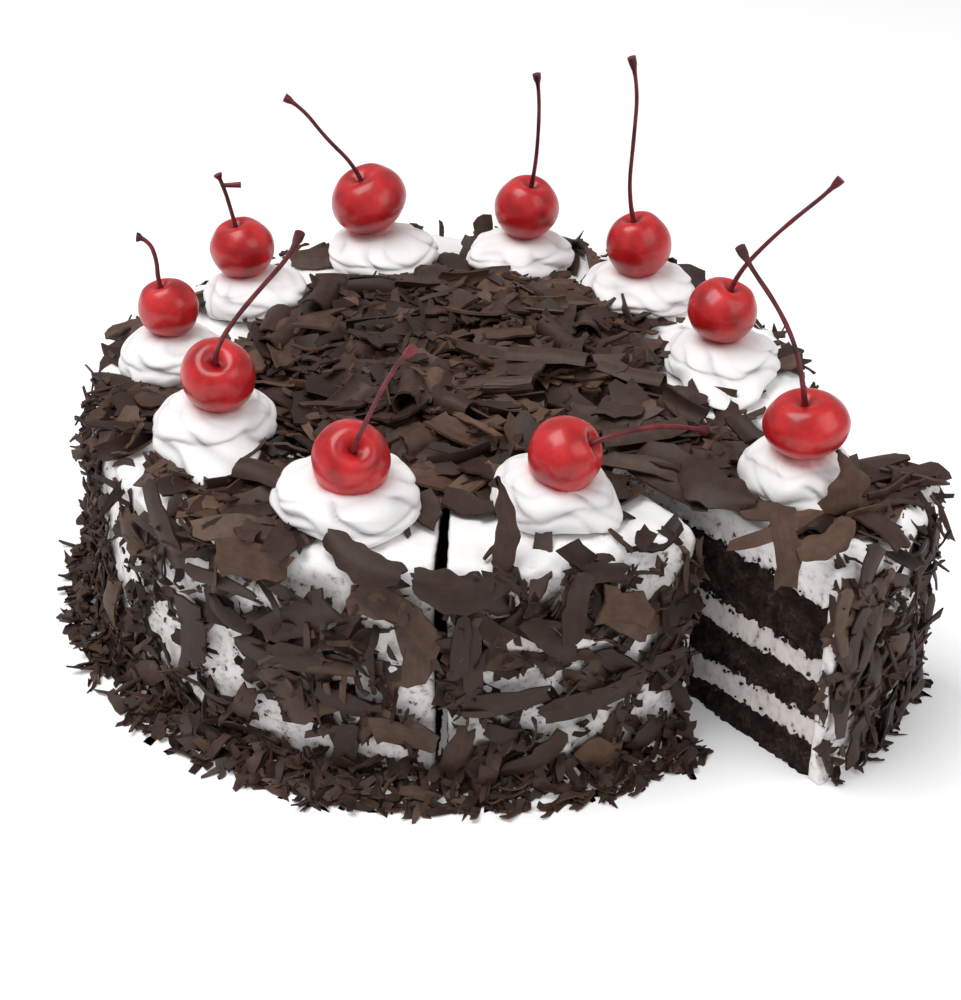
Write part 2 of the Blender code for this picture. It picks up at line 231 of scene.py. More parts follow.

# Cream filling: whipped cream cut by a knife that carried dark crumb down through it. Its dark
# streaks are crumb, and its ramp is greyer overall than the coat's cream, which is painted shade
filling_material, tree, shader = new_material("whipped_cream_filling_cut", Roughness=0.6, IOR=1.4,
                                              Subsurface_Weight=0.15, Subsurface_Scale=1.5 * MM)
place = add_node(tree, "ShaderNodeTexCoord").outputs["Object"]
stretch = add_node(tree, "ShaderNodeMapping", {"Vector": place, "Scale": (1, 1, 0.6)})
streak = add_node(tree, "ShaderNodeTexNoise", {"Vector": stretch.outputs["Vector"], "Scale": 420,
                                               "Detail": 4})
colour = add_node(tree, "ShaderNodeValToRGB", {"Fac": streak.outputs["Fac"]},
                  stops=((0.30, "#8b7c77"), (0.38, "#c9bfbc"), (0.5, "#d9d1cf"), (0.7, "#e2dbd9")))
# Painted shade: the faces of a narrow cut are drawn near black, for the shadow in the narrow gap
painted_kerf_shade = add_node(tree, "ShaderNodeAttribute", attribute_name="painted_kerf_shade").outputs["Fac"]
amount = add_node(tree, "ShaderNodeMath", {0: painted_kerf_shade, 1: 4.0}, operation="POWER")
kerf_shaded = add_node(tree, "ShaderNodeMix", {0: amount.outputs[0], 6: colour.outputs["Color"],
                                           7: linear("#2a1b16")}, data_type="RGBA")
tree.links.new(kerf_shaded.outputs[2], shader.inputs["Base Color"])
bump = add_node(tree, "ShaderNodeBump", {"Height": streak.outputs["Fac"], "Strength": 0.25,
                                         "Distance": 0.3 * MM})
tree.links.new(bump.outputs["Normal"], shader.inputs["Normal"])

for piece in PIECES:
    lower = None
    for layer in LAYER_ENDS:
        def section(across, up, spot_at, lower=lower, upper=layer):
            spot = spot_at(across * SPONGE_RADIUS)
            low = layer_end(lower, spot) if lower else 0.0
            height = low + up * (layer_end(upper, spot) - low)
            spot = spot_at(across * sponge_reach(height))
            return Vector((spot.x, spot.y, height))

        is_sponge = layer.startswith("sponge")
        thick = LAYER_ENDS[layer][0] - (LAYER_ENDS[lower][0] if lower else 0.0)
        cells = (round(SPONGE_RADIUS / CUT_CELL), round(thick / CUT_CELL))
        steps = 18 if piece.name == "main" else 4
        shape = sector(piece, section, cells, steps, torn_crumb if is_sponge else smeared_cream)
        new_piece(f"{layer}_{piece.name}_cut", shape, sponge_material if is_sponge else filling_material,
                  [f"{layer}_{piece.name}"], 180)
        lower = layer

# ---------------------------------------------------------------------------------------------
# Crumbs on the cut faces: lumps of sponge that the knife tore loose and that stick to the cut,
# most of them where sponge and cream meet. Lumpy balls, one mesh for each piece of the cake.
# ---------------------------------------------------------------------------------------------
CRUMBS_PER_CUT = 230
rng = random.Random(3)
for piece in PIECES:
    shape = bmesh.new()
    for degrees, side in ((piece.start, -1), (piece.end, 1)):
        angle = math.radians(degrees)
        outward = Vector((-math.sin(angle), math.cos(angle), 0)) * side * 0.1 * MM
        for _ in range(CRUMBS_PER_CUT if piece.hangs[side > 0] > 0 else 0):
            spot = on_ray(angle, rng.uniform(0.1, 1.0) * SPONGE_RADIUS)
            spot.z = layer_end(rng.choice(list(LAYER_ENDS)), spot) + rng.gauss(0, 0.9) * MM
            ball = bmesh.ops.create_icosphere(shape, subdivisions=1, radius=rng.uniform(0.3, 0.8) * MM)
            for vertex in ball["verts"]:
                vertex.co = vertex.co * rng.uniform(0.5, 1.6) + spot + outward + piece.slide
    new_piece(f"sponge_crumbs_{piece.name}", shape, sponge_material)

# ---------------------------------------------------------------------------------------------
# Cream coat: whipped cream spread over the top and the side with a palette knife, with a soft
# rounded rim. It stays lumpy on the side, where the shavings were pressed into it by hand.
# ---------------------------------------------------------------------------------------------
RIM_ROUNDING = 5.5 * MM
COAT_CELLS = (130, 4)
TOP_SHARE, RIM_SHARE = 0.56, 0.08
RUMPLED_PLACE = Vector((44 * MM, -104 * MM, CAKE_TOP))
RUMPLED_REACH = 17 * MM


def coat_section(across, up, spot_at):
    """A bent grid: along the top, round the rim and down the side, from the inside out."""
    flat = COAT_RADIUS - RIM_ROUNDING
    if across < TOP_SHARE:
        radius = flat * across / TOP_SHARE
        outer, inner = spot_at(radius), spot_at(min(radius, SPONGE_RADIUS))
        outer.z, inner.z = CAKE_TOP, layer_end("sponge_top", inner)
        lift = Vector((0, 0, 1))
    elif across < TOP_SHARE + RIM_SHARE:
        turn = (across - TOP_SHARE) / RIM_SHARE * math.pi / 2
        outer, inner = spot_at(flat + RIM_ROUNDING * math.sin(turn)), spot_at(SPONGE_RADIUS)
        outer.z = CAKE_TOP - RIM_ROUNDING * (1 - math.cos(turn))
        inner.z = layer_end("sponge_top", inner)
        lift = Vector((*(outer.xy.normalized() * math.sin(turn)), math.cos(turn)))
    else:
        part = (1 - across) / (1 - TOP_SHARE - RIM_SHARE)
        outer = spot_at(COAT_RADIUS)
        outer.z = (CAKE_TOP - RIM_ROUNDING) * part
        inner = spot_at(sponge_reach(outer.z))
        inner.z = min(outer.z, layer_end("sponge_top", inner))
        lift = outer.normalized()
        lift.z = 0
    rough = 1.6 * MM * wavy(outer, 11 * MM) + 1.0 * MM * wavy(outer, 4 * MM, 5.0) - 0.3 * MM
    if across < TOP_SHARE:
        rough *= 0.5
    near = math.exp(-((outer - RUMPLED_PLACE).length / RUMPLED_REACH) ** 2)
    pleat = Vector((outer.x + 0.6 * outer.y, 0.25 * outer.y, outer.z))
    rough += near * (1.2 * MM - 3.4 * MM * abs(wavy(pleat, 6 * MM)))
    place = inner.lerp(outer, up) + lift * rough * up
    place.z = max(place.z, 0)
    return place


# Whipped cream: fat foam that scatters light inside, so its shadows are soft and pale grey. Below the
# rim the side is painted greyer as shade, with dark chocolate smudges where the shavings were pressed on
# and slid off again.
cream_material, tree, shader = new_material("whipped_cream_spread", Roughness=0.6, IOR=1.35,
                                            Subsurface_Weight=0.2, Subsurface_Scale=1.2 * MM,
                                            Subsurface_Radius=(1.0, 0.85, 0.75),
                                            Specular_IOR_Level=0.3)
place = add_node(tree, "ShaderNodeTexCoord").outputs["Object"]
height = add_node(tree, "ShaderNodeSeparateXYZ", {"Vector": place}).outputs["Z"]
is_side = add_node(tree, "ShaderNodeMapRange", {"Value": height, "From Min": 76.5 * MM,
                                                "From Max": 71 * MM}).outputs["Result"]
smudge_and_shade_noise = add_node(tree, "ShaderNodeTexNoise", {"Vector": place, "Scale": 380, "Detail": 4,
                                               "Roughness": 0.6})
smudged_and_shaded = add_node(tree, "ShaderNodeValToRGB", {"Fac": smudge_and_shade_noise.outputs["Fac"]},
                 stops=((0.33, "#4d3a32"), (0.37, "#cfc8c6"), (0.5, "#f2edeb"), (0.7, "#f8f4f2")))
# Painted shade: below the rim the cream takes the greyer side ramp instead of the top's white
colour = add_node(tree, "ShaderNodeMix", {0: is_side, 6: linear("#f6f4f3"),
                                          7: smudged_and_shaded.outputs["Color"]}, data_type="RGBA")
# Painted shade: the faces of a narrow cut are drawn near black, for the shadow in the narrow gap
painted_kerf_shade = add_node(tree, "ShaderNodeAttribute", attribute_name="painted_kerf_shade").outputs["Fac"]
amount = add_node(tree, "ShaderNodeMath", {0: painted_kerf_shade, 1: 4.0}, operation="POWER")
kerf_shaded = add_node(tree, "ShaderNodeMix", {0: amount.outputs[0], 6: colour.outputs[2],
                                           7: linear("#2a1b16")}, data_type="RGBA")
tree.links.new(kerf_shaded.outputs[2], shader.inputs["Base Color"])
grain = add_node(tree, "ShaderNodeTexNoise", {"Vector": place, "Scale": 420, "Detail": 3})
bump = add_node(tree, "ShaderNodeBump", {"Height": grain.outputs["Fac"], "Strength": 0.3,
                                         "Distance": 0.5 * MM})
tree.links.new(bump.outputs["Normal"], shader.inputs["Normal"])

for piece in PIECES:
    shape = sector(piece, coat_section, COAT_CELLS, 220 if piece.name == "main" else 60, smeared_cream)
    new_piece(f"cream_coat_{piece.name}", shape, cream_material,
              [f"frosting_{piece.name}"], 180)

# ---------------------------------------------------------------------------------------------
# Shavings on the side: dark chocolate scraped off a block with a knife, which gives thin plates,
# flakes, slivers and loose curls with broken edges. They are pressed into the soft cream by the
# handful, overlap at all angles and leave bits of the cream showing.
# ---------------------------------------------------------------------------------------------
# Sizes in mm, cells of its sheet, radius of its bend, how much its ends narrow, how ragged its edges
# are and how far its ends are broken off askew
Kind = namedtuple("Kind", "length width thick cells curl taper ragged skew")
KINDS = {
    "plate": Kind(20, 8.5, 0.8, (5, 3), 11.0, 0.30, 0.20, 0.5),
    "flake": Kind(12, 6.0, 0.7, (4, 2), 8.0, 0.35, 0.26, 0.6),
    "sliver": Kind(14, 2.4, 0.6, (5, 1), 6.0, 0.60, 0.28, 0.4),
    "curl": Kind(18, 12.0, 0.8, (3, 6), 3.6, 0.20, 0.08, 0.3),
    "roll": Kind(22, 22.0, 0.8, (4, 11), 3.1, 0.06, 0.04, 0.1),
    "petal": Kind(20, 10.0, 0.9, (6, 3), 9.0, 0.50, 0.16, 0.4),
    "chip": Kind(4, 2.6, 0.5, (2, 1), 5.0, 0.30, 0.34, 0.6),
}
SHAPES_PER_KIND = 14
rng = random.Random(4)


def shaving(kind):
    """One shaving as (points, faces, places on its surface): a ragged sheet, bent across its
    width as it came off the knife, and thickened."""
    shape = bmesh.new()
    bmesh.ops.create_grid(shape, x_segments=kind.cells[0], y_segments=kind.cells[1], size=0.5)
    ends = rng.uniform(0.0, 1.0) * kind.taper, rng.uniform(0.3, 1.0) * kind.taper
    skews = rng.uniform(-1, 1) * kind.skew, rng.uniform(-1, 1) * kind.skew
    bow, twist = rng.uniform(-0.10, 0.14), rng.uniform(-0.35, 0.35)
    bend = kind.curl * rng.uniform(0.85, 1.5)
    for vertex in shape.verts:
        along, across = vertex.co.x, vertex.co.y
        narrow = 1 - ends[along > 0] * abs(2 * along) ** 1.3
        edge = rng.uniform(-kind.ragged, kind.ragged)
        y = kind.width * (across * narrow + edge * abs(across))
        x = kind.length * (along + edge * 0.4) + skews[along > 0] * kind.width * across * abs(2 * along)
        turn = y / bend + twist * along
        vertex.co = Vector((x, bend * math.sin(turn),
                            bend * (1 - math.cos(turn)) + bow * kind.length * (4 * along ** 2)))
    bmesh.ops.transform(shape, matrix=Matrix.Scale(MM, 4), verts=shape.verts)
    middle = sum((vertex.co for vertex in shape.verts), Vector()) / len(shape.verts)
    bmesh.ops.translate(shape, vec=-middle, verts=shape.verts)
    bmesh.ops.solidify(shape, geom=shape.faces[:], thickness=kind.thick * MM)
    bmesh.ops.recalc_face_normals(shape, faces=shape.faces)
    points = np.array([vertex.co for vertex in shape.verts])
    faces = np.array([[vertex.index for vertex in face.verts] for face in shape.faces])
    shape.free()
    return points, faces, points[:, :2].copy()


SHAVINGS = {name: [shaving(kind) for _ in range(SHAPES_PER_KIND)] for name, kind in KINDS.items()}


def joined(name, copies):
    """One mesh of many copies. A copy is (points, faces, surface places), its matrix and tone."""
    points, faces, spots, tones = [], [], [], []
    count = 0
    for (shape_points, shape_faces, shape_spots), matrix, tone in copies:
        turned = np.array(matrix)
        points.append(shape_points @ turned[:3, :3].T + turned[:3, 3])
        faces.append(shape_faces + count)
        stretch = [matrix.col[0].length, matrix.col[1].length]
        spots.append(shape_spots * stretch + [tone * 7.3, tone * 3.1])
        tones.append(np.full(len(shape_points), tone))
        count += len(shape_points)
    mesh = bpy.data.meshes.new(name)
    mesh.from_pydata(np.concatenate(points), [], np.concatenate(faces).tolist())
    corners = np.empty(len(mesh.loops), dtype=np.int32)
    mesh.loops.foreach_get("vertex_index", corners)
    surface = mesh.uv_layers.new(name="surface")
    surface.uv.foreach_set("vector", np.concatenate(spots)[corners].ravel().astype(np.float32))
    shade = mesh.attributes.new("tone", "FLOAT", "POINT")
    shade.data.foreach_set("value", np.concatenate(tones).astype(np.float32))
    mesh.validate()
    return mesh


def turned(x=0.0, y=0.0, z=0.0):
    """Rotation by degrees: about z last, so it stays in the plane that the shaving lies in."""
    return (Matrix.Rotation(math.radians(z), 4, "Z") @ Matrix.Rotation(math.radians(y), 4, "Y")
            @ Matrix.Rotation(math.radians(x), 4, "X"))


def against_side(piece, azimuth, height, out):
    """Axes of a place on the side: x to the right seen from outside, y up and z outwards."""
    angle = math.radians(azimuth)
    right = Vector((-math.sin(angle), math.cos(angle), 0))
    outwards = Vector((math.cos(angle), math.sin(angle), 0))
    axes = Matrix((right, Vector((0, 0, 1)), outwards)).transposed().to_4x4()
    spot = piece.slide + outwards * (COAT_RADIUS + out) + Vector((0, 0, height))
    return Matrix.Translation(spot) @ axes


def sized(kind, length, width):
    """Scale that gives a kind of shaving a length and a width in mm."""
    return Matrix.Diagonal((length / KINDS[kind].length, width / KINDS[kind].width, 1, 1))


# Places where the cream shows, as (azimuth, height, half width, half height) in degrees and mm
BARE_FRONT = (
    (-117, 76, 7, 4), (-110, 73, 12, 5), (-104, 71, 5, 4), (-150, 66, 3, 5), (-154, 52, 3, 7),
    (-146, 44, 3, 7), (-128, 62, 5, 4), (-123, 41, 4, 6), (-150, 30, 3, 6), (-131, 47, 3, 6),
    (-142, 74, 4, 5), (-120, 72, 3, 4), (-111, 74, 7, 4), (-105, 75, 7, 3), (-116.5, 61, 4, 3),
    (-120, 55, 2, 4), (-138, 33, 3, 8), (-134, 28, 2, 6), (-100, 61.5, 5, 3), (-95.5, 52, 2.5, 8),
    (-93.5, 35, 3, 5), (-138, 9, 3, 5), (-130, 13, 4, 6), (-124, 23, 5, 3), (-117, 13.5, 5, 5),
    (-112, 12, 5, 5), (-108.5, 9, 6, 4), (-99.5, 12, 8, 4), (-92, 43, 2, 4), (-74.6, 54, 4, 5),
    (-78.4, 38, 4, 4), (-87.5, 18, 5, 4), (-59.8, 19, 3, 5),
    (-56.4, 18, 2, 4), (-64.5, 6, 4, 4), (-76, 22.6, 4, 3), (-73, 14, 4, 4),
    (-63.4, 39, 3, 2), (-60.8, 43, 3, 2), (-77, 73, 3, 6), (-61, 63, 5, 3),
)
BARE_AREA = 700
BARE_MARGIN = 0.12
SIDE_TOP = 77
RIM_START = 66
RIM_LEAN = 62


def side_spots(piece):
    """Bare places round one piece's side: the given ones in front and scattered ones elsewhere."""
    spots = [spot for spot in BARE_FRONT if piece.start <= (spot[0] + 90) % 360 - 90 <= piece.end]
    spots = [((a + 90) % 360 - 90, z, w, h) for a, z, w, h in spots]
    free = 0
    while free < math.radians(piece.end - piece.start) * COAT_RADIUS * SIDE_TOP / MM / BARE_AREA:
        azimuth = rng.uniform(piece.start, piece.end)
        spot = (azimuth, rng.uniform(4, 76), rng.uniform(1.5, 5), rng.uniform(2, 6))
        free += 1
        if piece.name == "drawn" or (piece.name == "main" and azimuth < 210):
            spots.append(spot)
    return spots


def at_back(piece, azimuth):
    """Whether a place is on the far half of the main cake, whose rim is barer than the near one."""
    return piece.name == "main" and azimuth < 182


def covers(spots, azimuth, height, length, width, turn):
    """Whether a shaving on the side would lie over a bare place."""
    for part in (-0.42, -0.15, 0.15, 0.42):
        reach = part * length
        right = reach * math.cos(math.radians(turn))
        up = height + reach * math.sin(math.radians(turn))
        for spot_azimuth, spot_height, half_width, half_height in spots:
            across = math.radians(azimuth - spot_azimuth) * COAT_RADIUS / MM + right
            margin = width * BARE_MARGIN
            if (across / (half_width + margin)) ** 2 + ((up - spot_height)
                                                        / (half_height + margin)) ** 2 < 1:
                return True
    return False


# What is pressed on, from the cream outwards: kind, pieces per 1000 mm2, length and width ranges,
# range of the distance out from the cream, greatest tilt. Sizes in mm, tilt in degrees.
Scatter = namedtuple("Scatter", "kind density length width out tilt")
SIDE_SCATTER = (
    Scatter("flake", 15.0, (6, 14), (3, 6.5), (0.2, 1.2), 18),
    Scatter("plate", 7.0, (12, 22), (4, 8.5), (1.2, 3.0), 20),
    Scatter("curl", 0.4, (12, 20), (8, 12), (1.5, 3.0), 20),
    Scatter("sliver", 22.0, (6, 18), (1.2, 3.0), (1.2, 4.2), 30),
    Scatter("chip", 32.0, (1.5, 5.5), (1.0, 2.8), (0.3, 4.5), 45),
)


def leaning(height):
    """How far a shaving on the side leans in over the rounded rim at a height, in degrees."""
    return RIM_LEAN * min(1.0, max(0.0, (height - RIM_START) / (SIDE_TOP - RIM_START)))


def side_copies(piece):
    """Shavings all round a piece's side, none of which reaches over a cut."""
    spots = side_spots(piece)
    wide = math.radians(piece.end - piece.start) * COAT_RADIUS / MM
    copies = []
    for layer in SIDE_SCATTER:
        for _ in range(round(layer.density * wide * SIDE_TOP / 1000)):
            azimuth, height = rng.uniform(piece.start, piece.end), rng.uniform(1, SIDE_TOP)
            length, width = rng.uniform(*layer.length), rng.uniform(*layer.width)
            turn = rng.gauss(90, 38) if piece.name == "drawn" else rng.uniform(-90, 90)
            # Painted shade: side shavings take their tones from the darker end of the range, for the less
            # lit upright side
            out, tone = rng.uniform(*layer.out) * MM, rng.random() ** 1.6 * 0.9
            tilt, pitch = rng.gauss(0, layer.tilt), rng.gauss(0, layer.tilt * 0.7)
            shape = rng.choice(SHAVINGS[layer.kind])
            half = math.degrees(length * 0.42 * MM * abs(math.cos(math.radians(turn))) / COAT_RADIUS)
            rise = length * 0.4 * abs(math.sin(math.radians(turn)))
            if azimuth - half < piece.start or azimuth + half > piece.end or height < rise - 1:
                continue
            if covers(spots, azimuth, height, length, width, turn):
                continue
            if height > RIM_START and at_back(piece, azimuth) and tone < 0.35:
                continue
            flip = rng.choice((0, 180))
            lean = leaning(height)
            matrix = (against_side(piece, azimuth, height * MM, out - lean * 0.06 * MM) @ turned(x=-lean)
                      @ turned(tilt + flip, pitch, turn) @ sized(layer.kind, length, width))
            copies.append((shape, matrix, tone))
    return copies


EDGE_SHAVINGS = 16


def edge_copies(piece):
    """Small shavings stuck to the coat's own thickness where the coat is cut through."""
    copies = []
    for azimuth, side, hang in ((piece.start, -1, piece.hangs[0]), (piece.end, 1, piece.hangs[1])):
        if hang < 0:
            continue
        angle = math.radians(azimuth)
        outwards = Vector((math.cos(angle), math.sin(angle), 0))
        normal = Vector((-math.sin(angle), math.cos(angle), 0)) * side
        axes = Matrix((-outwards * side, Vector((0, 0, 1)), normal)).transposed().to_4x4()
        for _ in range(EDGE_SHAVINGS):
            spot = on_ray(angle, COAT_RADIUS + rng.uniform(-2.5, 1.5) * MM) + piece.slide
            spot += normal * 0.5 * MM + Vector((0, 0, rng.uniform(3, 72) * MM))
            kind = rng.choice(("flake", "chip", "chip"))
            copies.append((rng.choice(SHAVINGS[kind]), Matrix.Translation(spot) @ axes
                           @ turned(rng.gauss(0, 25), rng.gauss(0, 25), rng.uniform(50, 130))
                           @ sized(kind, rng.uniform(4, 10), rng.uniform(2, 4.5)), rng.random()))
    return copies


# Dark chocolate: matt where the knife scraped it, with fine drag lines along each shaving. Every
# shaving has its own tone, from nearly black to a warm, slightly greyed brown.
chocolate_material, tree, shader = new_material("dark_chocolate_scraped", Roughness=0.55, IOR=1.5,
                                                Specular_IOR_Level=0.3)
tone = add_node(tree, "ShaderNodeAttribute", attribute_name="tone").outputs["Fac"]
colour = add_node(tree, "ShaderNodeValToRGB", {"Fac": tone},
                  stops=((0.0, "#2b1b16"), (0.4, "#3d2a22"), (0.7, "#4a362c"), (0.93, "#574032"),
                         (1.0, "#62493a")))
surface = add_node(tree, "ShaderNodeUVMap", uv_map="surface").outputs["UV"]
drag = add_node(tree, "ShaderNodeMapping", {"Vector": surface, "Scale": (60, 900, 1)})
lines = add_node(tree, "ShaderNodeTexNoise", {"Vector": drag.outputs["Vector"], "Scale": 1,
                                              "Detail": 3})
shade = add_node(tree, "ShaderNodeMapRange", {"Value": lines.outputs["Fac"], "From Min": 0.25,
                                              "From Max": 0.75, "To Min": 0.88, "To Max": 1.12})
streaked = add_node(tree, "ShaderNodeVectorMath", {0: colour.outputs["Color"],
                                                   "Scale": shade.outputs["Result"]},
                    operation="SCALE")
place = add_node(tree, "ShaderNodeTexCoord").outputs["Object"]
rubbed = add_node(tree, "ShaderNodeTexNoise", {"Vector": place, "Scale": 260, "Detail": 4,
                                               "Roughness": 0.6})
worn = add_node(tree, "ShaderNodeMapRange", {"Value": rubbed.outputs["Fac"], "From Min": 0.3,
                                             "From Max": 0.7, "To Min": 0.72, "To Max": 1.22})
mottled = add_node(tree, "ShaderNodeVectorMath", {0: streaked.outputs["Vector"],
                                                  "Scale": worn.outputs["Result"]},
                   operation="SCALE")
tree.links.new(mottled.outputs["Vector"], shader.inputs["Base Color"])
bump = add_node(tree, "ShaderNodeBump", {"Height": lines.outputs["Fac"], "Strength": 0.22,
                                         "Distance": 0.3 * MM})
tree.links.new(bump.outputs["Normal"], shader.inputs["Normal"])

# Large shavings on the side that catch the eye, as (piece, azimuth, height, length, width, turn,
# tilt, out, tone): places in degrees and mm, turn anticlockwise from the horizontal
LARGE_ON_SIDE = (
    ("main", 227, 74, 26, 10, 118, 0, 3.5, 0.30), ("main", 230.7, 40, 22, 11, 98, 5, 3.0, 0.25),
    ("main", 250, 59, 26, 11, 28, 0, 3.5, 0.25), ("main", 238, 63.5, 25, 6, 4, 10, 4.0, 0.35),
    ("main", 246, 44, 26, 9, -4, 0, 3.5, 0.30), ("main", 261, 67, 18, 9, -30, -15, 4.0, 0.85),
    ("main", 266, 53, 20, 9, -58, 0, 3.5, 0.75), ("main", 264, 21, 19, 9, -14, 0, 3.8, 0.80),
    ("main", 255.7, 14, 16, 8, 84, 0, 3.5, 0.20), ("main", 219, 10, 20, 9, 48, 0, 3.5, 0.80),
    ("main", 207, 21, 18, 8, 96, 10, 3.5, 0.90), ("main", 247, 29, 20, 10, -50, 0, 3.6, 0.70),
    ("main", 240, 20, 13, 7, 82, 0, 3.5, 0.60), ("main", 227, 2, 17, 5, -2, 0, 5.0, 0.85),
    ("main", 256, 31, 21, 7, -8, 0, 3.4, 0.20), ("main", 243, 73, 24, 11, -8, -20, 2.5, 0.85),
    ("front", -73, 66, 19, 9, 80, 0, 3.6, 0.30), ("front", -65, 58, 18, 12, -22, -10, 4.0, 0.85),
    ("front", -70, 30, 30, 9, 12, 0, 3.8, 0.30), ("front", -60, 36, 22, 6, 15, 0, 3.4, 0.25),
    ("front", -68.4, 9, 13, 10, -52, 0, 3.8, 0.95), ("front", -84.7, 6, 15, 6, 86, 0, 3.5, 0.60),
    ("front", -86.8, 49, 24, 6, 88, 0, 3.5, 0.25), ("front", -67, 0, 22, 6, 18, 0, 4.0, 0.40),
    ("front", -82.7, 22, 11, 6, -10, 0, 3.5, 0.20), ("front", -61, 10, 13, 8, 60, 0, 3.5, 0.35),
    ("drawn", -52.3, 64, 22, 5, 92, 0, 3.0, 0.90), ("drawn", -48, 78, 14, 9, 60, 0, 3.0, 0.25),
    ("drawn", -44, 63, 20, 6, 80, 0, 3.0, 0.75), ("drawn", -44, 33, 22, 8, 95, 0, 3.0, 0.35),
    ("drawn", -49.6, 32, 22, 7, 78, 0, 3.0, 0.35), ("drawn", -45, 14, 18, 6, 68, 0, 3.0, 0.40),
    ("drawn", -49, 55, 20, 7, 80, 0, 3.2, 0.30), ("drawn", -50.2, 45, 16, 5, 102, 0, 3.0, 0.50),
    ("drawn", -46.8, 47, 18, 6, 70, 0, 3.4, 0.25), ("drawn", -47.5, 67, 17, 6, 110, 0, 3.2, 0.45),
    ("front", -82, 34, 24, 8, 10, 0, 3.6, 0.30), ("front", -76, 54, 20, 7, -40, 0, 3.6, 0.20),
    ("front", -89, 16, 18, 7, 75, 0, 3.4, 0.45), ("front", -78, 12, 20, 7, 20, 0, 3.8, 0.35),
)


def large_copies(piece):
    """The listed shavings that are placed on one piece's side."""
    copies = []
    for name, azimuth, height, length, width, turn, tilt, out, tone in LARGE_ON_SIDE:
        if name == piece.name:
            matrix = (against_side(piece, azimuth, height * MM, out * MM)
                      @ turned(tilt + 180, 0, turn) @ sized("plate", length, width))
            copies.append((rng.choice(SHAVINGS["plate"]), matrix, tone))
    return copies


# Reach in mm and pieces per degree
SKIRT = {"main": (16, 5.0), "front": (15, 5.0), "drawn": (3, 1.2)}
SKIRT_HEIGHT = 9


def skirt_copies(piece):
    """Fallen shavings that lie against the foot of the cake, mostly small and broken."""
    reach, density = SKIRT[piece.name]
    copies = []
    first = piece.start + (1 if piece.hangs[0] > 0 else -0.6)
    last = piece.end - (1 if piece.hangs[1] > 0 else -0.6)
    for _ in range(round((piece.end - piece.start) * density)):
        azimuth, part = rng.uniform(first, last), rng.random() ** 1.2
        height = rng.uniform(0.5, SKIRT_HEIGHT * (1 - part) ** 1.4 + 1.2)
        kind = rng.choice(("flake", "flake", "plate", "sliver", "sliver", "sliver", "chip"))
        length, width = rng.uniform(4, 13), rng.uniform(1.4, 4.2)
        tone, shape = rng.random() * 0.85, rng.choice(SHAVINGS[kind])
        lean = rng.uniform(0.0, 1.0) * (62 - 50 * part)
        matrix = (against_side(piece, azimuth, height * MM, part * reach * MM)
                  @ turned(x=lean - 90) @ turned(z=rng.uniform(0, 360))
                  @ turned(x=rng.gauss(0, 25), y=rng.gauss(0, 13))
                  @ sized(kind, min(length, 1.8 * KINDS[kind].length), width))
        copies.append((shape, matrix, tone))
    return copies


for piece in PIECES:
    copies = side_copies(piece) + large_copies(piece) + edge_copies(piece) + skirt_copies(piece)
    mesh = joined(f"side_shavings_{piece.name}", copies)
    spots = np.array([vertex.co for vertex in mesh.vertices])
    spots[:, 2] = np.maximum(spots[:, 2], 0.2 * MM)
    mesh.vertices.foreach_set("co", spots.ravel())
    new_piece(f"side_shavings_{piece.name}", mesh, chocolate_material,
              [f"shavings_side_{piece.name}"], 38)

# ---------------------------------------------------------------------------------------------
# Shavings on the top: the same scraped chocolate, larger, curved petals and flakes that were
# strewn on the middle of the top and lie there in a low, loose heap inside the ring of rosettes.
# ---------------------------------------------------------------------------------------------
HEAP_RADIUS = 66 * MM
HEAP_HEIGHT = 9.5 * MM
CORE_SHARE = 0.42


def heap_rise(radius):
    """Height of the heap above the cream at a radius from the cake's axis."""
    return HEAP_HEIGHT * max(0.0, 1 - (radius / (1.25 * HEAP_RADIUS)) ** 2.5)


def core_section(across, up, spot_at):
    """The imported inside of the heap, which shows only as dark gaps between the shavings."""
    spot = spot_at(across * HEAP_RADIUS)
    rise = CORE_SHARE * heap_rise(spot.xy.length) + 2.4 * MM * wavy(spot, 6 * MM)
    spot.z = CAKE_TOP - 0.6 * MM + up * max(0.8 * MM, rise)
    return spot


# Rosettes, read from the frame, as (number, middle of the foot, half width, height)
Rosette = namedtuple("Rosette", "number foot half height")
ROSETTES = []
for number in range(1, 11):
    low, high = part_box(f"rosette_{number}")
    foot = Vector(((low.x + high.x) / 2, (low.y + high.y) / 2, low.z))
    ROSETTES.append(Rosette(number, foot, (high.x - low.x + high.y - low.y) / 4, high.z - low.z))

# Places on the top that stay bare, as (x, y, radius) in mm about the middle of the whole cake
BARE_TOP = ((12, -100, 13), (16, -112, 12), (40, -108, 14), (-8, -108, 7), (-28, -116, 9),
            (62, -92, 9))
TOP_SCATTER = (
    Scatter("flake", 24.0, (9, 17), (5, 9), (0.1, 0.6), 16),
    Scatter("petal", 14.0, (15, 27), (7, 13), (0.35, 0.95), 20),
    Scatter("curl", 2.0, (14, 22), (10, 13), (0.6, 1.1), 18),
    Scatter("roll", 0.4, (16, 26), (18, 23), (0.6, 1.0), 90),
    Scatter("sliver", 10.0, (9, 22), (1.6, 3.4), (0.5, 1.1), 20),
    Scatter("chip", 16.0, (2, 6), (1.5, 3.5), (0.6, 1.15), 30),
)
TOP_REACH = 115 * MM
STREWN_SHARE = 0.8
THINNING = 16 * MM
# The heap covers a narrow cut up to a radius; the drawn piece's first cut is less covered further out
KERF_SHOWS_FROM = 74 * MM
OVER_KERF = 0.4
HANG_FADE = 85 * MM


def clear_of_rosettes(spot, length):
    """Whether a shaving on the top keeps off the cream of every rosette."""
    return all((spot - rosette.foot).xy.length > rosette.half * 0.66 + length * MM * 0.27
               for rosette in ROSETTES)


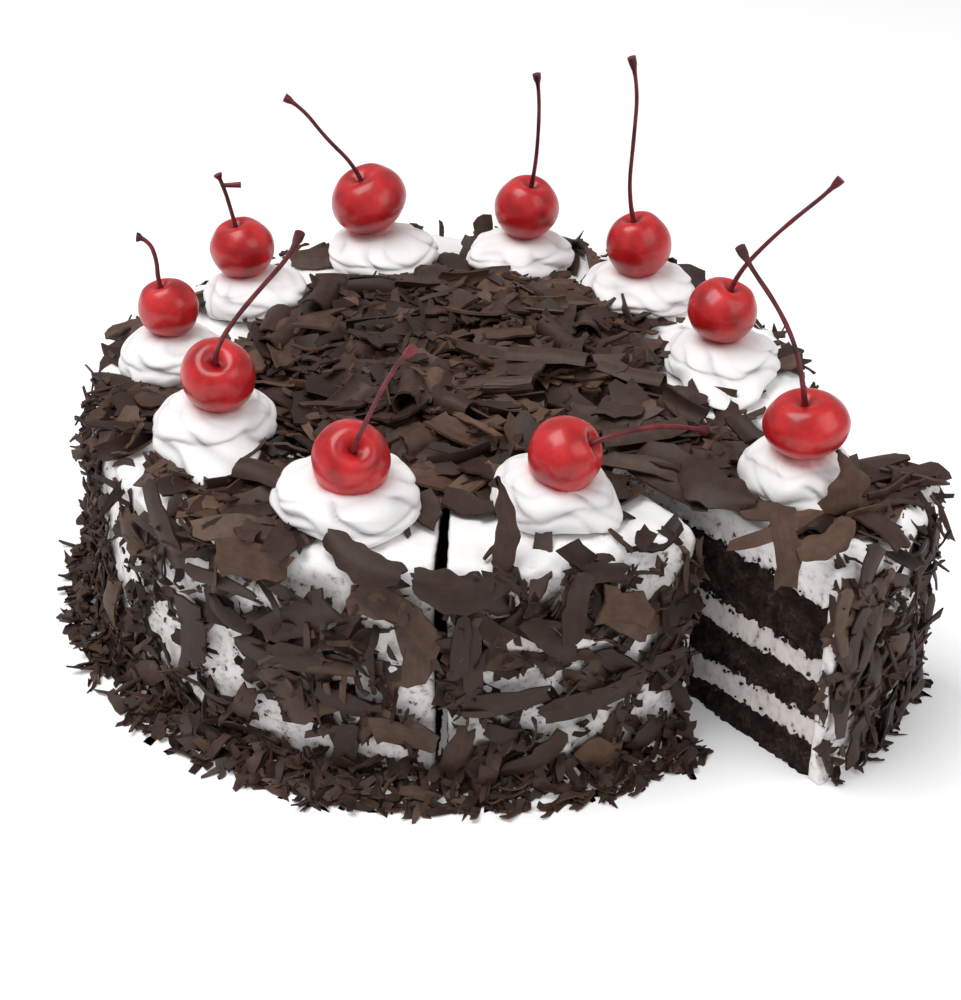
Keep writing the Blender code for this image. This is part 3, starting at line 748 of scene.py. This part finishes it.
def top_copies(piece):
    """Shavings strewn over a piece's top, thickest in the middle of the cake."""
    copies = []
    start, end = math.radians(piece.start), math.radians(piece.end)
    area = (end - start) / 2 * TOP_REACH ** 2 / MM ** 2
    for layer in TOP_SCATTER:
        for _ in range(round(layer.density * area / 1000)):
            angle, radius = rng.uniform(start, end), TOP_REACH * math.sqrt(rng.random())
            length, width = rng.uniform(*layer.length), rng.uniform(*layer.width)
            heading, tilt, pitch = rng.uniform(0, 360), rng.gauss(0, layer.tilt), rng.gauss(0, 9)
            level, tone = rng.uniform(*layer.out), rng.random()
            shape, flip = rng.choice(SHAVINGS[layer.kind]), rng.choice((0, 180))
            spot = on_ray(angle, radius)
            from_cuts = (spot - CUTS_MEET).xy.length
            room = (angle - start) * from_cuts, (end - angle) * from_cuts
            covered = from_cuts < KERF_SHOWS_FROM
            hangs = [OVER_KERF if hang < 0 and covered else hang for hang in piece.hangs]
            if piece.name == "drawn":
                hangs[0] *= max(0.0, 1 - from_cuts / HANG_FADE)
            if any(free < (0.42 - hang) * length * MM for free, hang in zip(room, hangs)):
                continue
            share = STREWN_SHARE
            if at_back(piece, math.degrees(angle)):
                share *= 1 - 0.85 * min(1.0, max(0.0, (radius - HEAP_RADIUS) / THINNING))
            if radius > HEAP_RADIUS and (layer.kind == "roll" or rng.random() > share):
                continue
            if not clear_of_rosettes(spot + piece.slide, length):
                continue
            if any((spot.xy - Vector((x, y)) * MM).length < (reach + 0.25 * length) * MM
                   for x, y, reach in BARE_TOP):
                continue
            lift = 0.8 * MM + level * (heap_rise(spot.xy.length) + 2.0 * MM)
            matrix = (Matrix.Translation(spot + piece.slide + Vector((0, 0, CAKE_TOP + lift)))
                      @ turned(tilt + flip, pitch, heading) @ sized(layer.kind, length, width))
            copies.append((shape, matrix, tone))
    return copies


# Single shavings that catch the eye on the top, on the rim and over the cuts, as (piece, kind,
# middle, length, width, heading, slope, roll, tone): mm and degrees, from the piece's own centre
Single = namedtuple("Single", "piece kind middle length width heading slope roll tone")
SINGLES = (
    Single("front", "plate", (27, -112, 76), 24, 6, -102, -24, 5, 0.35),
    Single("front", "plate", (42, -116, 74.5), 21, 6, 20, -12, 62, 0.15),
    Single("front", "plate", (37, -121, 66), 20, 7.5, -73, -82, 0, 0.25),
    Single("front", "flake", (52, -115, 62), 18, 11, 24, -16, 68, 0.85),
    Single("front", "flake", (57, -107, 81), 11, 5.5, -118, 10, -20, 0.2),
    Single("front", "sliver", (50, -107, 80.5), 15, 1.8, -59, 0, 0, 0.3),
    Single("front", "sliver", (13, -110, 79), 9, 1.8, -133, 0, 0, 0.2),
    Single("front", "sliver", (14, -121, 77.6), 8, 2.2, -3, 0, 20, 0.2),
    Single("front", "flake", (6, -87, 80.5), 15, 9, -13, -4, 12, 0.3),
    Single("front", "plate", (3.5, -126, 55), 20, 6, -88, -86, 0, 0.2),
    Single("main", "flake", (-6, -91, 80.5), 13, 10, -46, -6, 12, 0.35),
    Single("main", "plate", (-18, -124, 69.5), 18, 8, -17, -38, 58, 0.55),
    Single("main", "plate", (-7.5, -126, 61), 17, 8, -8, -46, 62, 0.8),
    Single("main", "plate", (-8.5, -126.5, 51), 17, 9, -92, -78, 0, 0.8),
    Single("main", "plate", (-60, -100, 79), 26, 9, 4, 0, 22, 0.9),
    Single("main", "plate", (-50, -104, 79), 18, 6, -8, -2, 24, 0.6),
    Single("main", "roll", (-54, -79, 83), 22, 18, -38, 0, 100, 0.35),
    Single("main", "roll", (33, -10, 87), 28, 20, -15, 3, 100, 0.5),
    Single("main", "roll", (60, -17, 84), 22, 20, -24, 0, 80, 0.6),
    Single("main", "petal", (46, -13, 87), 24, 11, -20, 6, 20, 0.7),
    Single("main", "petal", (74, -24, 81), 20, 9, -10, 5, 20, 0.45),
    Single("main", "sliver", (80, -23, 82), 16, 3.2, -80, -8, 10, 0.3),
    Single("main", "flake", (113, 2, 80), 11, 5, 10, 10, 30, 0.9),
    Single("main", "petal", (20, -12, 88), 24, 12, -30, 4, 15, 0.5),
    Single("main", "plate", (20, -12.5, 78.5), 22, 10, -20, 0, 45, 0.3),
    Single("main", "plate", (32, -16, 78), 24, 11, -14, 2, 50, 0.45),
    Single("main", "plate", (43, -18.5, 78.5), 22, 10, -20, -3, 42, 0.25),
    Single("main", "plate", (53, -21.5, 78), 24, 11, -15, 3, 52, 0.5),
    Single("main", "plate", (63, -24, 78.5), 20, 9, -18, 0, 45, 0.35),
    Single("main", "plate", (27, -16, 80.5), 28, 13, -25, -2, 12, 0.4),
    Single("main", "petal", (38, -22, 80), 24, 12, -35, -4, 15, 0.3),
    Single("drawn", "roll", (23, -31, 86), 27, 21, 15, 3, 90, 0.55),
    Single("drawn", "petal", (10, -17, 85), 22, 10, -30, 5, 20, 0.5),
    Single("drawn", "plate", (22, -45, 84), 28, 5.5, -24, 3, 30, 0.6),
    Single("drawn", "plate", (28, -52, 82), 31, 7, -44, 1, 25, 0.4),
    Single("drawn", "petal", (29, -43, 86), 22, 9, -27, 0, 20, 0.3),
    Single("drawn", "plate", (16, -27, 84), 26, 8, -50, 2, 25, 0.35),
    Single("drawn", "plate", (58, -93, 84), 20, 8, -62, -64, 0, 0.8),
    Single("drawn", "sliver", (53, -80, 81), 18, 5, 2, 5, 38, 0.9),
    Single("drawn", "plate", (57, -70, 83), 17, 7, -8, -10, 28, 0.75),
    Single("drawn", "petal", (38, -39, 84), 22, 10, -20, 3, 12, 0.5),
    Single("drawn", "petal", (52, -36, 83), 20, 9, -15, 0, 12, 0.4),
)


def single_copies(piece):
    """The listed shavings that are placed on one piece's top and rim."""
    copies = []
    for single in SINGLES:
        if single.piece == piece.name:
            middle = Vector(single.middle) * MM + piece.slide
            matrix = (Matrix.Translation(middle) @ turned(single.roll, -single.slope, single.heading)
                      @ sized(single.kind, single.length, single.width))
            copies.append((rng.choice(SHAVINGS[single.kind]), matrix, single.tone))
    return copies


for piece in PIECES:
    shape = sector(piece, core_section, (60, 2), 100 if piece.name == "main" else 14, lambda _: 0.0)
    new_piece(f"heap_core_{piece.name}", shape, chocolate_material,
              [f"shavings_top_{piece.name}"], 180)
    mesh = joined(f"top_shavings_{piece.name}", top_copies(piece) + single_copies(piece))
    new_piece(f"top_shavings_{piece.name}", mesh, chocolate_material, sharp=38)

# ---------------------------------------------------------------------------------------------
# Large single plates: six broad shavings that stand out of the heaps, on the rim, across the cut
# and on the drawn portion. Each is one wide scrape of chocolate with torn edges and a slight bow.
# ---------------------------------------------------------------------------------------------
# centre, length and width in mm; heading, slope and roll in degrees; how narrow the far end is;
# height of the bow along the plate in mm; tone
Plate = namedtuple("Plate", "name piece centre length width heading slope roll point curl tone")
PLATES = (
    Plate("rim", "main", (-25.5, -118.0, 79.0), 27, 9.5, -33, -13, 34, 0.9, 1.5, 0.25),
    Plate("across_cut", "main", (5.5, -124.5, 72.5), 30, 11.0, 2, -2, 62, 0.55, 3.5, 0.20),
    Plate("spear", "front", (17.0, -112.0, 88.0), 28, 7.0, 93, 58, 0, 0.1, 1.0, 0.45),
    Plate("ledge", "drawn", (71.5, -89.0, 84.5), 22, 9.5, 32, 8, 30, 0.6, 1.5, 0.90),
    Plate("leaf", "drawn", (80.5, -65.0, 90.0), 19, 12.5, 80, 66, 0, 0.1, 1.0, 0.85),
    Plate("inner", "drawn", (40.0, -60.5, 85.5), 28, 13.0, -48, -4, 18, 0.7, 2.0, 0.30),
)
PLATE_CELLS = (20, 6)
PLATE_THICKNESS = 1.1


def broad_plate(plate):
    """A wide shaving as (points, faces, surface places), narrower at its far end and bowed."""
    shape = bmesh.new()
    bmesh.ops.create_grid(shape, x_segments=PLATE_CELLS[0], y_segments=PLATE_CELLS[1], size=0.5)
    for vertex in shape.verts:
        along, across = vertex.co.x, vertex.co.y
        narrow = 1 + (plate.point - 1) * (along + 0.5) ** 2
        torn = wavy((along * 5 + plate.length, across * 3, 0), 1.0) * 0.5 * abs(across) * 2
        x = plate.length * (along + 0.06 * wavy((across * 4, plate.width, along), 1.0))
        y = plate.width * (across * narrow + torn * across)
        y *= 1 - 0.45 * abs(2 * along) ** 4
        y += plate.width * 0.35 * (2 * along) ** 2
        bow = plate.curl * (1 - (2 * along) ** 2) - 1.3 * (2 * across) ** 2
        vertex.co = Vector((x, y, bow))
    bmesh.ops.transform(shape, matrix=Matrix.Scale(MM, 4), verts=shape.verts)
    bmesh.ops.solidify(shape, geom=shape.faces[:], thickness=PLATE_THICKNESS * MM)
    bmesh.ops.recalc_face_normals(shape, faces=shape.faces)
    points = np.array([vertex.co for vertex in shape.verts])
    faces = np.array([[vertex.index for vertex in face.verts] for face in shape.faces])
    shape.free()
    return points, faces, points[:, :2].copy()


slides = {piece.name: piece.slide for piece in PIECES}
for plate in PLATES:
    centre = Vector(plate.centre) * MM + slides[plate.piece]
    matrix = Matrix.Translation(centre) @ turned(plate.roll, -plate.slope, plate.heading)
    mesh = joined(f"broad_plate_{plate.name}", [(broad_plate(plate), matrix, plate.tone)])
    new_piece(f"broad_plate_{plate.name}", mesh, chocolate_material,
              [f"plate_{plate.name}"], 38)

# ---------------------------------------------------------------------------------------------
# Rosettes: stiff whipped cream piped from a star nozzle. The rope of cream lies in a spiral, its
# ridges slant round it as soft folds of unequal depth, and its end sinks in under the cherry.
# ---------------------------------------------------------------------------------------------
ROSETTE_OUTLINE = ((0.0, 0.0), (0.70, 0.0), (0.85, 0.04), (0.95, 0.13), (1.0, 0.27), (0.99, 0.42),
                   (0.94, 0.55), (0.84, 0.67), (0.71, 0.77), (0.55, 0.87), (0.35, 0.95), (0.16, 0.99),
                   (0.0, 1.0))
ROSETTE_POINTS = 60
ROSETTE_STEPS = 132
WRAPS = 2.2
STAR_RIDGES = 7
RIDGE_SLANT = 12.0
# Where the nozzle pulled a rosette's foot out as it left: the azimuth in degrees and how far, as a
# part of the half width
FEET = {6: (-95, 0.8), 7: (-70, 0.3), 8: (-84, 0.9), 9: (-62, 0.25), 10: (-35, 0.35)}
FOOT_SPREAD = 0.55


def along_curve(points, part):
    """A place at a part of a smooth curve through points (Catmull-Rom)."""
    spot = min(part, 0.9999) * (len(points) - 1)
    index, t = int(spot), spot - int(spot)
    around = [Vector(points[min(max(index + step, 0), len(points) - 1)]) for step in (-1, 0, 1, 2)]
    before, near, far, after = around
    return 0.5 * (2 * near + (far - before) * t + (2 * before - 5 * near + 4 * far - after) * t ** 2
                  + (3 * near - before - 3 * far + after) * t ** 3)


def smooth_step(value, low, high):
    """0 below low, 1 above high and smooth between."""
    part = min(1.0, max(0.0, (value - low) / (high - low)))
    return part * part * (3 - 2 * part)


def rosette_shape(rosette, cherry):
    """A turned outline with a spiral groove and star ridges, pressed in where the cherry sits.
    Also gives, for each vertex, how deep in a fold it is, which the piped cream paints as shade."""
    shape = bmesh.new()
    outline = [along_curve(ROSETTE_OUTLINE, step / (ROSETTE_POINTS - 1)) for step in range(ROSETTE_POINTS)]
    chain = [shape.verts.new((max(0.0, point.x), 0, point.y)) for point in outline]
    edges = [shape.edges.new(pair) for pair in zip(chain, chain[1:])]
    bmesh.ops.spin(shape, geom=[*chain, *edges], cent=(0, 0, 0), axis=(0, 0, 1), angle=math.tau,
                   steps=ROSETTE_STEPS, use_merge=True)
    bmesh.ops.remove_doubles(shape, verts=shape.verts, dist=0.0001)
    seed = rosette.number * 3.7
    creases = []
    for vertex in shape.verts:
        unit = vertex.co.copy()
        angle, up = math.atan2(unit.y, unit.x), unit.z
        low = 1 - 0.75 * smooth_step(up, 0.6, 0.95)
        wave = noise.noise(Vector((unit.x * 1.3, unit.y * 1.3, seed)))
        winding = (math.tau * WRAPS * up - angle + 2.5 * wave + seed) / 2
        groove = (1 - abs(math.sin(winding))) ** 3
        slant = (STAR_RIDGES * angle + RIDGE_SLANT * up + 6 * wave) / 2
        valley = (1 - abs(math.sin(slant))) ** 2.2
        depth = 0.55 + 0.9 * noise.noise(unit * 2.3 + Vector((seed, seed, 0)))
        lump = noise.noise(unit * 1.5 + Vector((0, 0, seed)))
        frill = noise.noise(Vector((unit.x * 2.4, unit.y * 2.4, seed))) * (1 - smooth_step(up, 0, 0.5))
        swell = 1.02 - low * (0.05 * groove + 0.11 * depth * valley) + 0.10 * lump + 0.14 * frill
        creases.append(low * min(1.0, 0.4 * groove + max(0.0, depth) * valley))
        toward, reach = FEET.get(rosette.number, (0, 0))
        off = math.remainder(math.radians(toward) - angle, math.tau)
        swell += reach * math.exp(-(off / FOOT_SPREAD) ** 2) * (1 - smooth_step(up, 0, 0.5))
        if unit.xy.length > 0.3 or up > 0.1:
            vertex.co.xy *= swell
        top_lump = 0.07 * noise.noise(unit * 2.9 + Vector((seed, 0, 0))) * smooth_step(up, 0.02, 0.2)
        vertex.co = Vector((vertex.co.x * rosette.half, vertex.co.y * rosette.half,
                            (up + top_lump) * rosette.height)) + rosette.foot
        away = cherry.turn.inverted() @ (vertex.co - cherry.centre)
        away.z /= cherry.flatten
        nest = cherry.radius * 0.975
        if away.length < nest:
            away *= nest / away.length
            away.z *= cherry.flatten
            vertex.co = cherry.centre + cherry.turn @ away
    bmesh.ops.recalc_face_normals(shape, faces=shape.faces)
    return shape, creases


# Cherries and their stalks: cherry's width in mm and its height as a part of that, stalk's length in
# mm, and the way the stalk leaves the cherry and goes on, as (azimuth, elevation) in even steps
Stemmed = namedtuple("Stemmed", "width flatten stem ways")
STEMMED = {
    1: Stemmed(20.5, 0.97, 22, ((180, 75), (0, 88), (180, 74), (180, 8))),
    2: Stemmed(23.5, 0.93, 22, ((180, 78), (180, 78), (180, 68))),
    3: Stemmed(29.5, 0.80, 44, ((205, 70), (180, 46), (180, 55), (180, 30))),
    4: Stemmed(24.8, 0.94, 45, ((-30, 78), (0, 86), (0, 90), (180, 80))),
    5: Stemmed(23.7, 1.02, 62, ((180, 76), (0, 87), (0, 88), (180, 72))),
    6: Stemmed(23.5, 0.93, 53, ((-20, 74), (0, 52), (0, 46), (0, 42), (0, 52))),
    7: Stemmed(26.0, 0.75, 58, ((200, 80), (180, 75), (180, 62), (180, 54), (180, 62))),
    8: Stemmed(24.0, 0.90, 60, ((-85, 56), (-22, 57), (-12, 51), (-10, 50), (-30, 68))),
    9: Stemmed(24.0, 0.92, 50, ((-76, 49), (-43, 62), (-43, 62), (-36, 60), (-10, 42))),
    10: Stemmed(23.5, 0.94, 45, ((-13, 30), (25, 0), (35, -14), (35, -22), (30, -26))),
}
# The solid's box stops short of the ball on the dimple's side, by this part of the radius twice
BOX_SHORT = 0.05
Cherry = namedtuple("Cherry", "number centre radius flatten axis turn")


def direction(azimuth, elevation):
    """Unit vector from an azimuth about +Z and an elevation above the floor, in degrees."""
    azimuth, elevation = math.radians(azimuth), math.radians(elevation)
    level = math.cos(elevation)
    return Vector((level * math.cos(azimuth), level * math.sin(azimuth), math.sin(elevation)))


CHERRIES = []
for number, stemmed in STEMMED.items():
    low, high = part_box(f"cherry_{number}")
    radius, axis = stemmed.width * MM / 2, direction(*stemmed.ways[0])
    centre = (low + high) / 2 + axis * radius * BOX_SHORT
    turn = Vector((0, 0, 1)).rotation_difference(axis)
    CHERRIES.append(Cherry(number, centre, radius, stemmed.flatten, axis, turn))

# Piped cream: smoother and whiter than the spread coat, with painted shade greying its creases,
# and a pink stain where syrup has run
piped_material, tree, shader = new_material("whipped_cream_piped", Roughness=0.5, IOR=1.35,
                                            Subsurface_Weight=0.2, Subsurface_Scale=1 * MM,
                                            Subsurface_Radius=(1.0, 0.85, 0.75),
                                            Specular_IOR_Level=0.3)
stain = add_node(tree, "ShaderNodeAttribute", attribute_name="stain").outputs["Fac"]
crease = add_node(tree, "ShaderNodeAttribute", attribute_name="crease").outputs["Fac"]
place = add_node(tree, "ShaderNodeTexCoord").outputs["Object"]
patchy = add_node(tree, "ShaderNodeTexNoise", {"Vector": place, "Scale": 220, "Detail": 2})
amount = add_node(tree, "ShaderNodeMath", {0: stain, 1: patchy.outputs["Fac"]}, operation="MULTIPLY")
shaded = add_node(tree, "ShaderNodeMix", {0: crease, 6: linear("#f7f5f4"), 7: linear("#c4bfc3")},
                  data_type="RGBA")
colour = add_node(tree, "ShaderNodeMix", {0: amount.outputs[0], 6: shaded.outputs[2],
                                          7: linear("#e07a7c")}, data_type="RGBA")
tree.links.new(colour.outputs[2], shader.inputs["Base Color"])
bump = add_node(tree, "ShaderNodeBump", {"Height": patchy.outputs["Fac"], "Strength": 0.2,
                                         "Distance": 0.4 * MM})
tree.links.new(bump.outputs["Normal"], shader.inputs["Normal"])

STAIN_REACH = 0.9 * MM
for rosette, cherry in zip(ROSETTES, CHERRIES):
    shape, creases = rosette_shape(rosette, cherry)
    item = new_piece(f"piped_rosette_{rosette.number}", shape, piped_material,
                     [f"rosette_{rosette.number}"], 180)
    # how deep in the folds each vertex lies, which the material turns into painted shade
    crease = item.data.attributes.new("crease", "FLOAT", "POINT")
    crease.data.foreach_set("value", creases)
    stain = item.data.attributes.new("stain", "FLOAT", "POINT")
    stain.data.foreach_set("value", [
        math.exp(-max(0.0, (vertex.co - cherry.centre).length - cherry.radius) / STAIN_REACH)
        for vertex in item.data.vertices])

# ---------------------------------------------------------------------------------------------
# Cherries: cocktail cherries, stoned and steeped in red syrup with their stalks on. The skin is
# thin, wet and glossy, and light goes into the flesh; the dimple round the stalk is dark.
# ---------------------------------------------------------------------------------------------
DIMPLE_DEPTH = 0.30
DIMPLE_WIDTH = 0.28


def cherry_shape(cherry):
    """A ball with a dimple round its axis, slightly flattened and uneven."""
    shape = bmesh.new()
    bmesh.ops.create_uvsphere(shape, u_segments=56, v_segments=48, radius=1)
    for vertex in shape.verts:
        unit = vertex.co.copy()
        from_axis = math.acos(min(1.0, max(-1.0, unit.z)))
        lobes = 1 + 0.018 * math.cos(2 * math.atan2(unit.y, unit.x) + cherry.number)
        lumps = 1 + 0.03 * noise.noise(unit * 1.6 + Vector((0, 0, cherry.number)))
        dimple = DIMPLE_DEPTH * math.exp(-(from_axis / DIMPLE_WIDTH) ** 2)
        shoulder = 0.025 * math.exp(-((from_axis - 0.62) / 0.22) ** 2)
        vertex.co = unit * lobes * lumps * (1 + shoulder)
        vertex.co.z = (vertex.co.z - dimple) * cherry.flatten
    matrix = (Matrix.Translation(cherry.centre) @ cherry.turn.to_matrix().to_4x4()
              @ Matrix.Scale(cherry.radius * 0.985, 4))
    bmesh.ops.transform(shape, matrix=matrix, verts=shape.verts)
    bmesh.ops.recalc_face_normals(shape, faces=shape.faces)
    return shape


# Steeped cherry skin: syrup gloss over red flesh, paler where it is thin, with painted shade darkening the
# dimple round the stalk
cherry_material, tree, shader = new_material("cherry_in_syrup", Roughness=0.38, IOR=1.42,
                                             Subsurface_Weight=0.2, Subsurface_Scale=2 * MM,
                                             Subsurface_Radius=(1.0, 0.12, 0.08),
                                             Coat_Weight=0.5, Coat_Roughness=0.2,
                                             Specular_IOR_Level=0.45)
painted_dimple_shade = add_node(tree, "ShaderNodeAttribute", attribute_name="painted_dimple_shade").outputs["Fac"]
place = add_node(tree, "ShaderNodeTexCoord").outputs["Object"]
flesh = add_node(tree, "ShaderNodeTexNoise", {"Vector": place, "Scale": 130, "Detail": 3})
red = add_node(tree, "ShaderNodeValToRGB", {"Fac": flesh.outputs["Fac"]},
               stops=((0.3, "#96070d"), (0.5, "#b91117"), (0.72, "#d02a2d")))
colour = add_node(tree, "ShaderNodeMix", {0: painted_dimple_shade, 6: red.outputs["Color"],
                                          7: linear("#3a0605")}, data_type="RGBA")
tree.links.new(colour.outputs[2], shader.inputs["Base Color"])
bump = add_node(tree, "ShaderNodeBump", {"Height": flesh.outputs["Fac"], "Strength": 0.15,
                                         "Distance": 0.5 * MM})
tree.links.new(bump.outputs["Normal"], shader.inputs["Normal"])

for cherry in CHERRIES:
    item = new_piece(f"steeped_cherry_{cherry.number}", cherry_shape(cherry), cherry_material,
                     [f"cherry_{cherry.number}"], 180)
    # Painted shade: near black round the stalk, where the dimple lies in shade
    dark = item.data.attributes.new("painted_dimple_shade", "FLOAT", "POINT")
    dark.data.foreach_set("value", [
        math.exp(-((vertex.co - cherry.centre).angle(cherry.axis) / 0.19) ** 2)
        for vertex in item.data.vertices])

# ---------------------------------------------------------------------------------------------
# Cherry stalks: thin, springy and dark red, each with the small woody knob that it hung from the
# twig by. They bend as they grew.
# ---------------------------------------------------------------------------------------------
STEM_RADIUS = 0.78 * MM
STEM_RINGS = 26
STEM_SIDES = 10
KNOB_START = 0.90


def stem_shape(cherry):
    """A tube along a smooth route, thinnest in the middle and widest at its knob."""
    length, ways = STEMMED[cherry.number].stem, STEMMED[cherry.number].ways
    spot = cherry.centre + cherry.axis * cherry.radius * (cherry.flatten - DIMPLE_DEPTH - 0.06)
    turns = [Vector((0, 0, 1)).rotation_difference(direction(*way)) for way in ways]
    shape = bmesh.new()
    rings = []
    for ring in range(STEM_RINGS + 1):
        part = ring / STEM_RINGS
        leg = min(part, 0.9999) * (len(turns) - 1)
        turn = turns[int(leg)].slerp(turns[int(leg) + 1], leg - int(leg))
        knob = smooth_step(part, KNOB_START, 0.985)
        uneven = 1 + 0.10 * noise.noise(Vector((part * 9, cherry.number, 0)))
        thick = STEM_RADIUS * (0.92 + 0.35 * (1 - part) ** 6 + 1.15 * knob) * uneven
        matrix = Matrix.Translation(spot) @ turn.to_matrix().to_4x4()
        made = bmesh.ops.create_circle(shape, segments=STEM_SIDES, radius=thick, matrix=matrix)
        rings.append([edge for edge in shape.edges if edge.verts[0] in made["verts"]])
        spot += turn @ Vector((0, 0, length * MM / STEM_RINGS))
    for near, far in zip(rings, rings[1:]):
        bmesh.ops.bridge_loops(shape, edges=near + far)
    bmesh.ops.holes_fill(shape, edges=shape.edges[:], sides=STEM_SIDES)
    bmesh.ops.recalc_face_normals(shape, faces=shape.faces)
    return shape


# Stalk skin: smooth, dark red-brown, slightly waxy, with paler and darker stretches
stem_material, tree, shader = new_material("cherry_stalk_waxy", Roughness=0.4, IOR=1.45,
                                           Specular_IOR_Level=0.4)
place = add_node(tree, "ShaderNodeTexCoord").outputs["Object"]
patches = add_node(tree, "ShaderNodeTexNoise", {"Vector": place, "Scale": 160, "Detail": 3})
colour = add_node(tree, "ShaderNodeValToRGB", {"Fac": patches.outputs["Fac"]},
                  stops=((0.3, "#3c1416"), (0.5, "#641e25"), (0.7, "#7d2a30")))
tree.links.new(colour.outputs["Color"], shader.inputs["Base Color"])
bump = add_node(tree, "ShaderNodeBump", {"Height": patches.outputs["Fac"], "Strength": 0.3,
                                         "Distance": 0.3 * MM})
tree.links.new(bump.outputs["Normal"], shader.inputs["Normal"])

for cherry in CHERRIES:
    new_piece(f"cherry_stalk_{cherry.number}", stem_shape(cherry), stem_material,
              [f"stem_{cherry.number}"], 50)

# The second stalk grew forked: a short stub of its other arm is left just below the knob
STUB_LENGTH = 7 * MM
low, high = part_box("stem_2")
fork = Vector((low.x + 2.6 * MM, (low.y + high.y) / 2, high.z - 6 * MM))
way = direction(0, 2)
turn = Vector((0, 0, 1)).rotation_difference(way).to_matrix().to_4x4()
shape = bmesh.new()
bmesh.ops.create_cone(shape, cap_ends=True, segments=STEM_SIDES, radius1=STEM_RADIUS * 0.9,
                      radius2=STEM_RADIUS * 1.4, depth=STUB_LENGTH,
                      matrix=Matrix.Translation(fork + way * STUB_LENGTH / 2) @ turn)
new_piece("cherry_stalk_2_stub", shape, stem_material, sharp=50)

# ---------------------------------------------------------------------------------------------
# Floor, light and camera: a white table top, faintly lit from within, under one large soft light
# from the upper left, with a weaker one from the right.
# ---------------------------------------------------------------------------------------------
FLOOR_SIZE = 8.0

shape = bmesh.new()
bmesh.ops.create_grid(shape, x_segments=1, y_segments=1, size=FLOOR_SIZE / 2)
floor_mesh = bpy.data.meshes.new("table_top")
shape.to_mesh(floor_mesh)
shape.free()
floor_material, tree, shader = new_material("white_backlit_acrylic", Roughness=0.9,
                                            Base_Color=linear("#fdfdfd"), Specular_IOR_Level=0.1,
                                            Emission_Color=(1, 1, 1, 1), Emission_Strength=0.14)
floor_mesh.materials.append(floor_material)
floor = bpy.data.objects.new("table_top", floor_mesh)
bpy.context.scene.collection.objects.link(floor)

world = bpy.data.worlds.new("studio")
bpy.context.scene.world = world
world.use_nodes = True
world.node_tree.nodes["Background"].inputs["Color"].default_value = (1, 1, 1, 1)
world.node_tree.nodes["Background"].inputs["Strength"].default_value = 0.44

# name, place, size, power in watts
LIGHTS = (("key", (-0.5, -0.15, 1.4), 1.0, 16), ("fill", (0.9, -0.6, 0.9), 0.9, 4))
for name, place, size, power in LIGHTS:
    light = bpy.data.lights.new(name, "AREA")
    light.energy, light.size = power, size
    lamp = bpy.data.objects.new(name, light)
    lamp.location = place
    lamp.rotation_euler = (Vector((0, 0, 0.04)) - Vector(place)).to_track_quat("-Z", "Y").to_euler()
    bpy.context.scene.collection.objects.link(lamp)

CAMERA_PLACE = Vector((6.4 * MM, -562.7 * MM, 375.3 * MM))
CAMERA_DOWN, CAMERA_RIGHT, CAMERA_ROLL = 31.76, 0.42, 0.247
camera_data = bpy.data.cameras.new("camera")
camera_data.lens, camera_data.sensor_width, camera_data.clip_start = 67.45, 36, 0.01
camera = bpy.data.objects.new("camera", camera_data)
camera.matrix_world = (Matrix.Translation(CAMERA_PLACE) @ turned(z=-CAMERA_RIGHT)
                       @ turned(x=90 - CAMERA_DOWN) @ turned(z=CAMERA_ROLL))
bpy.context.scene.collection.objects.link(camera)
bpy.context.scene.camera = camera
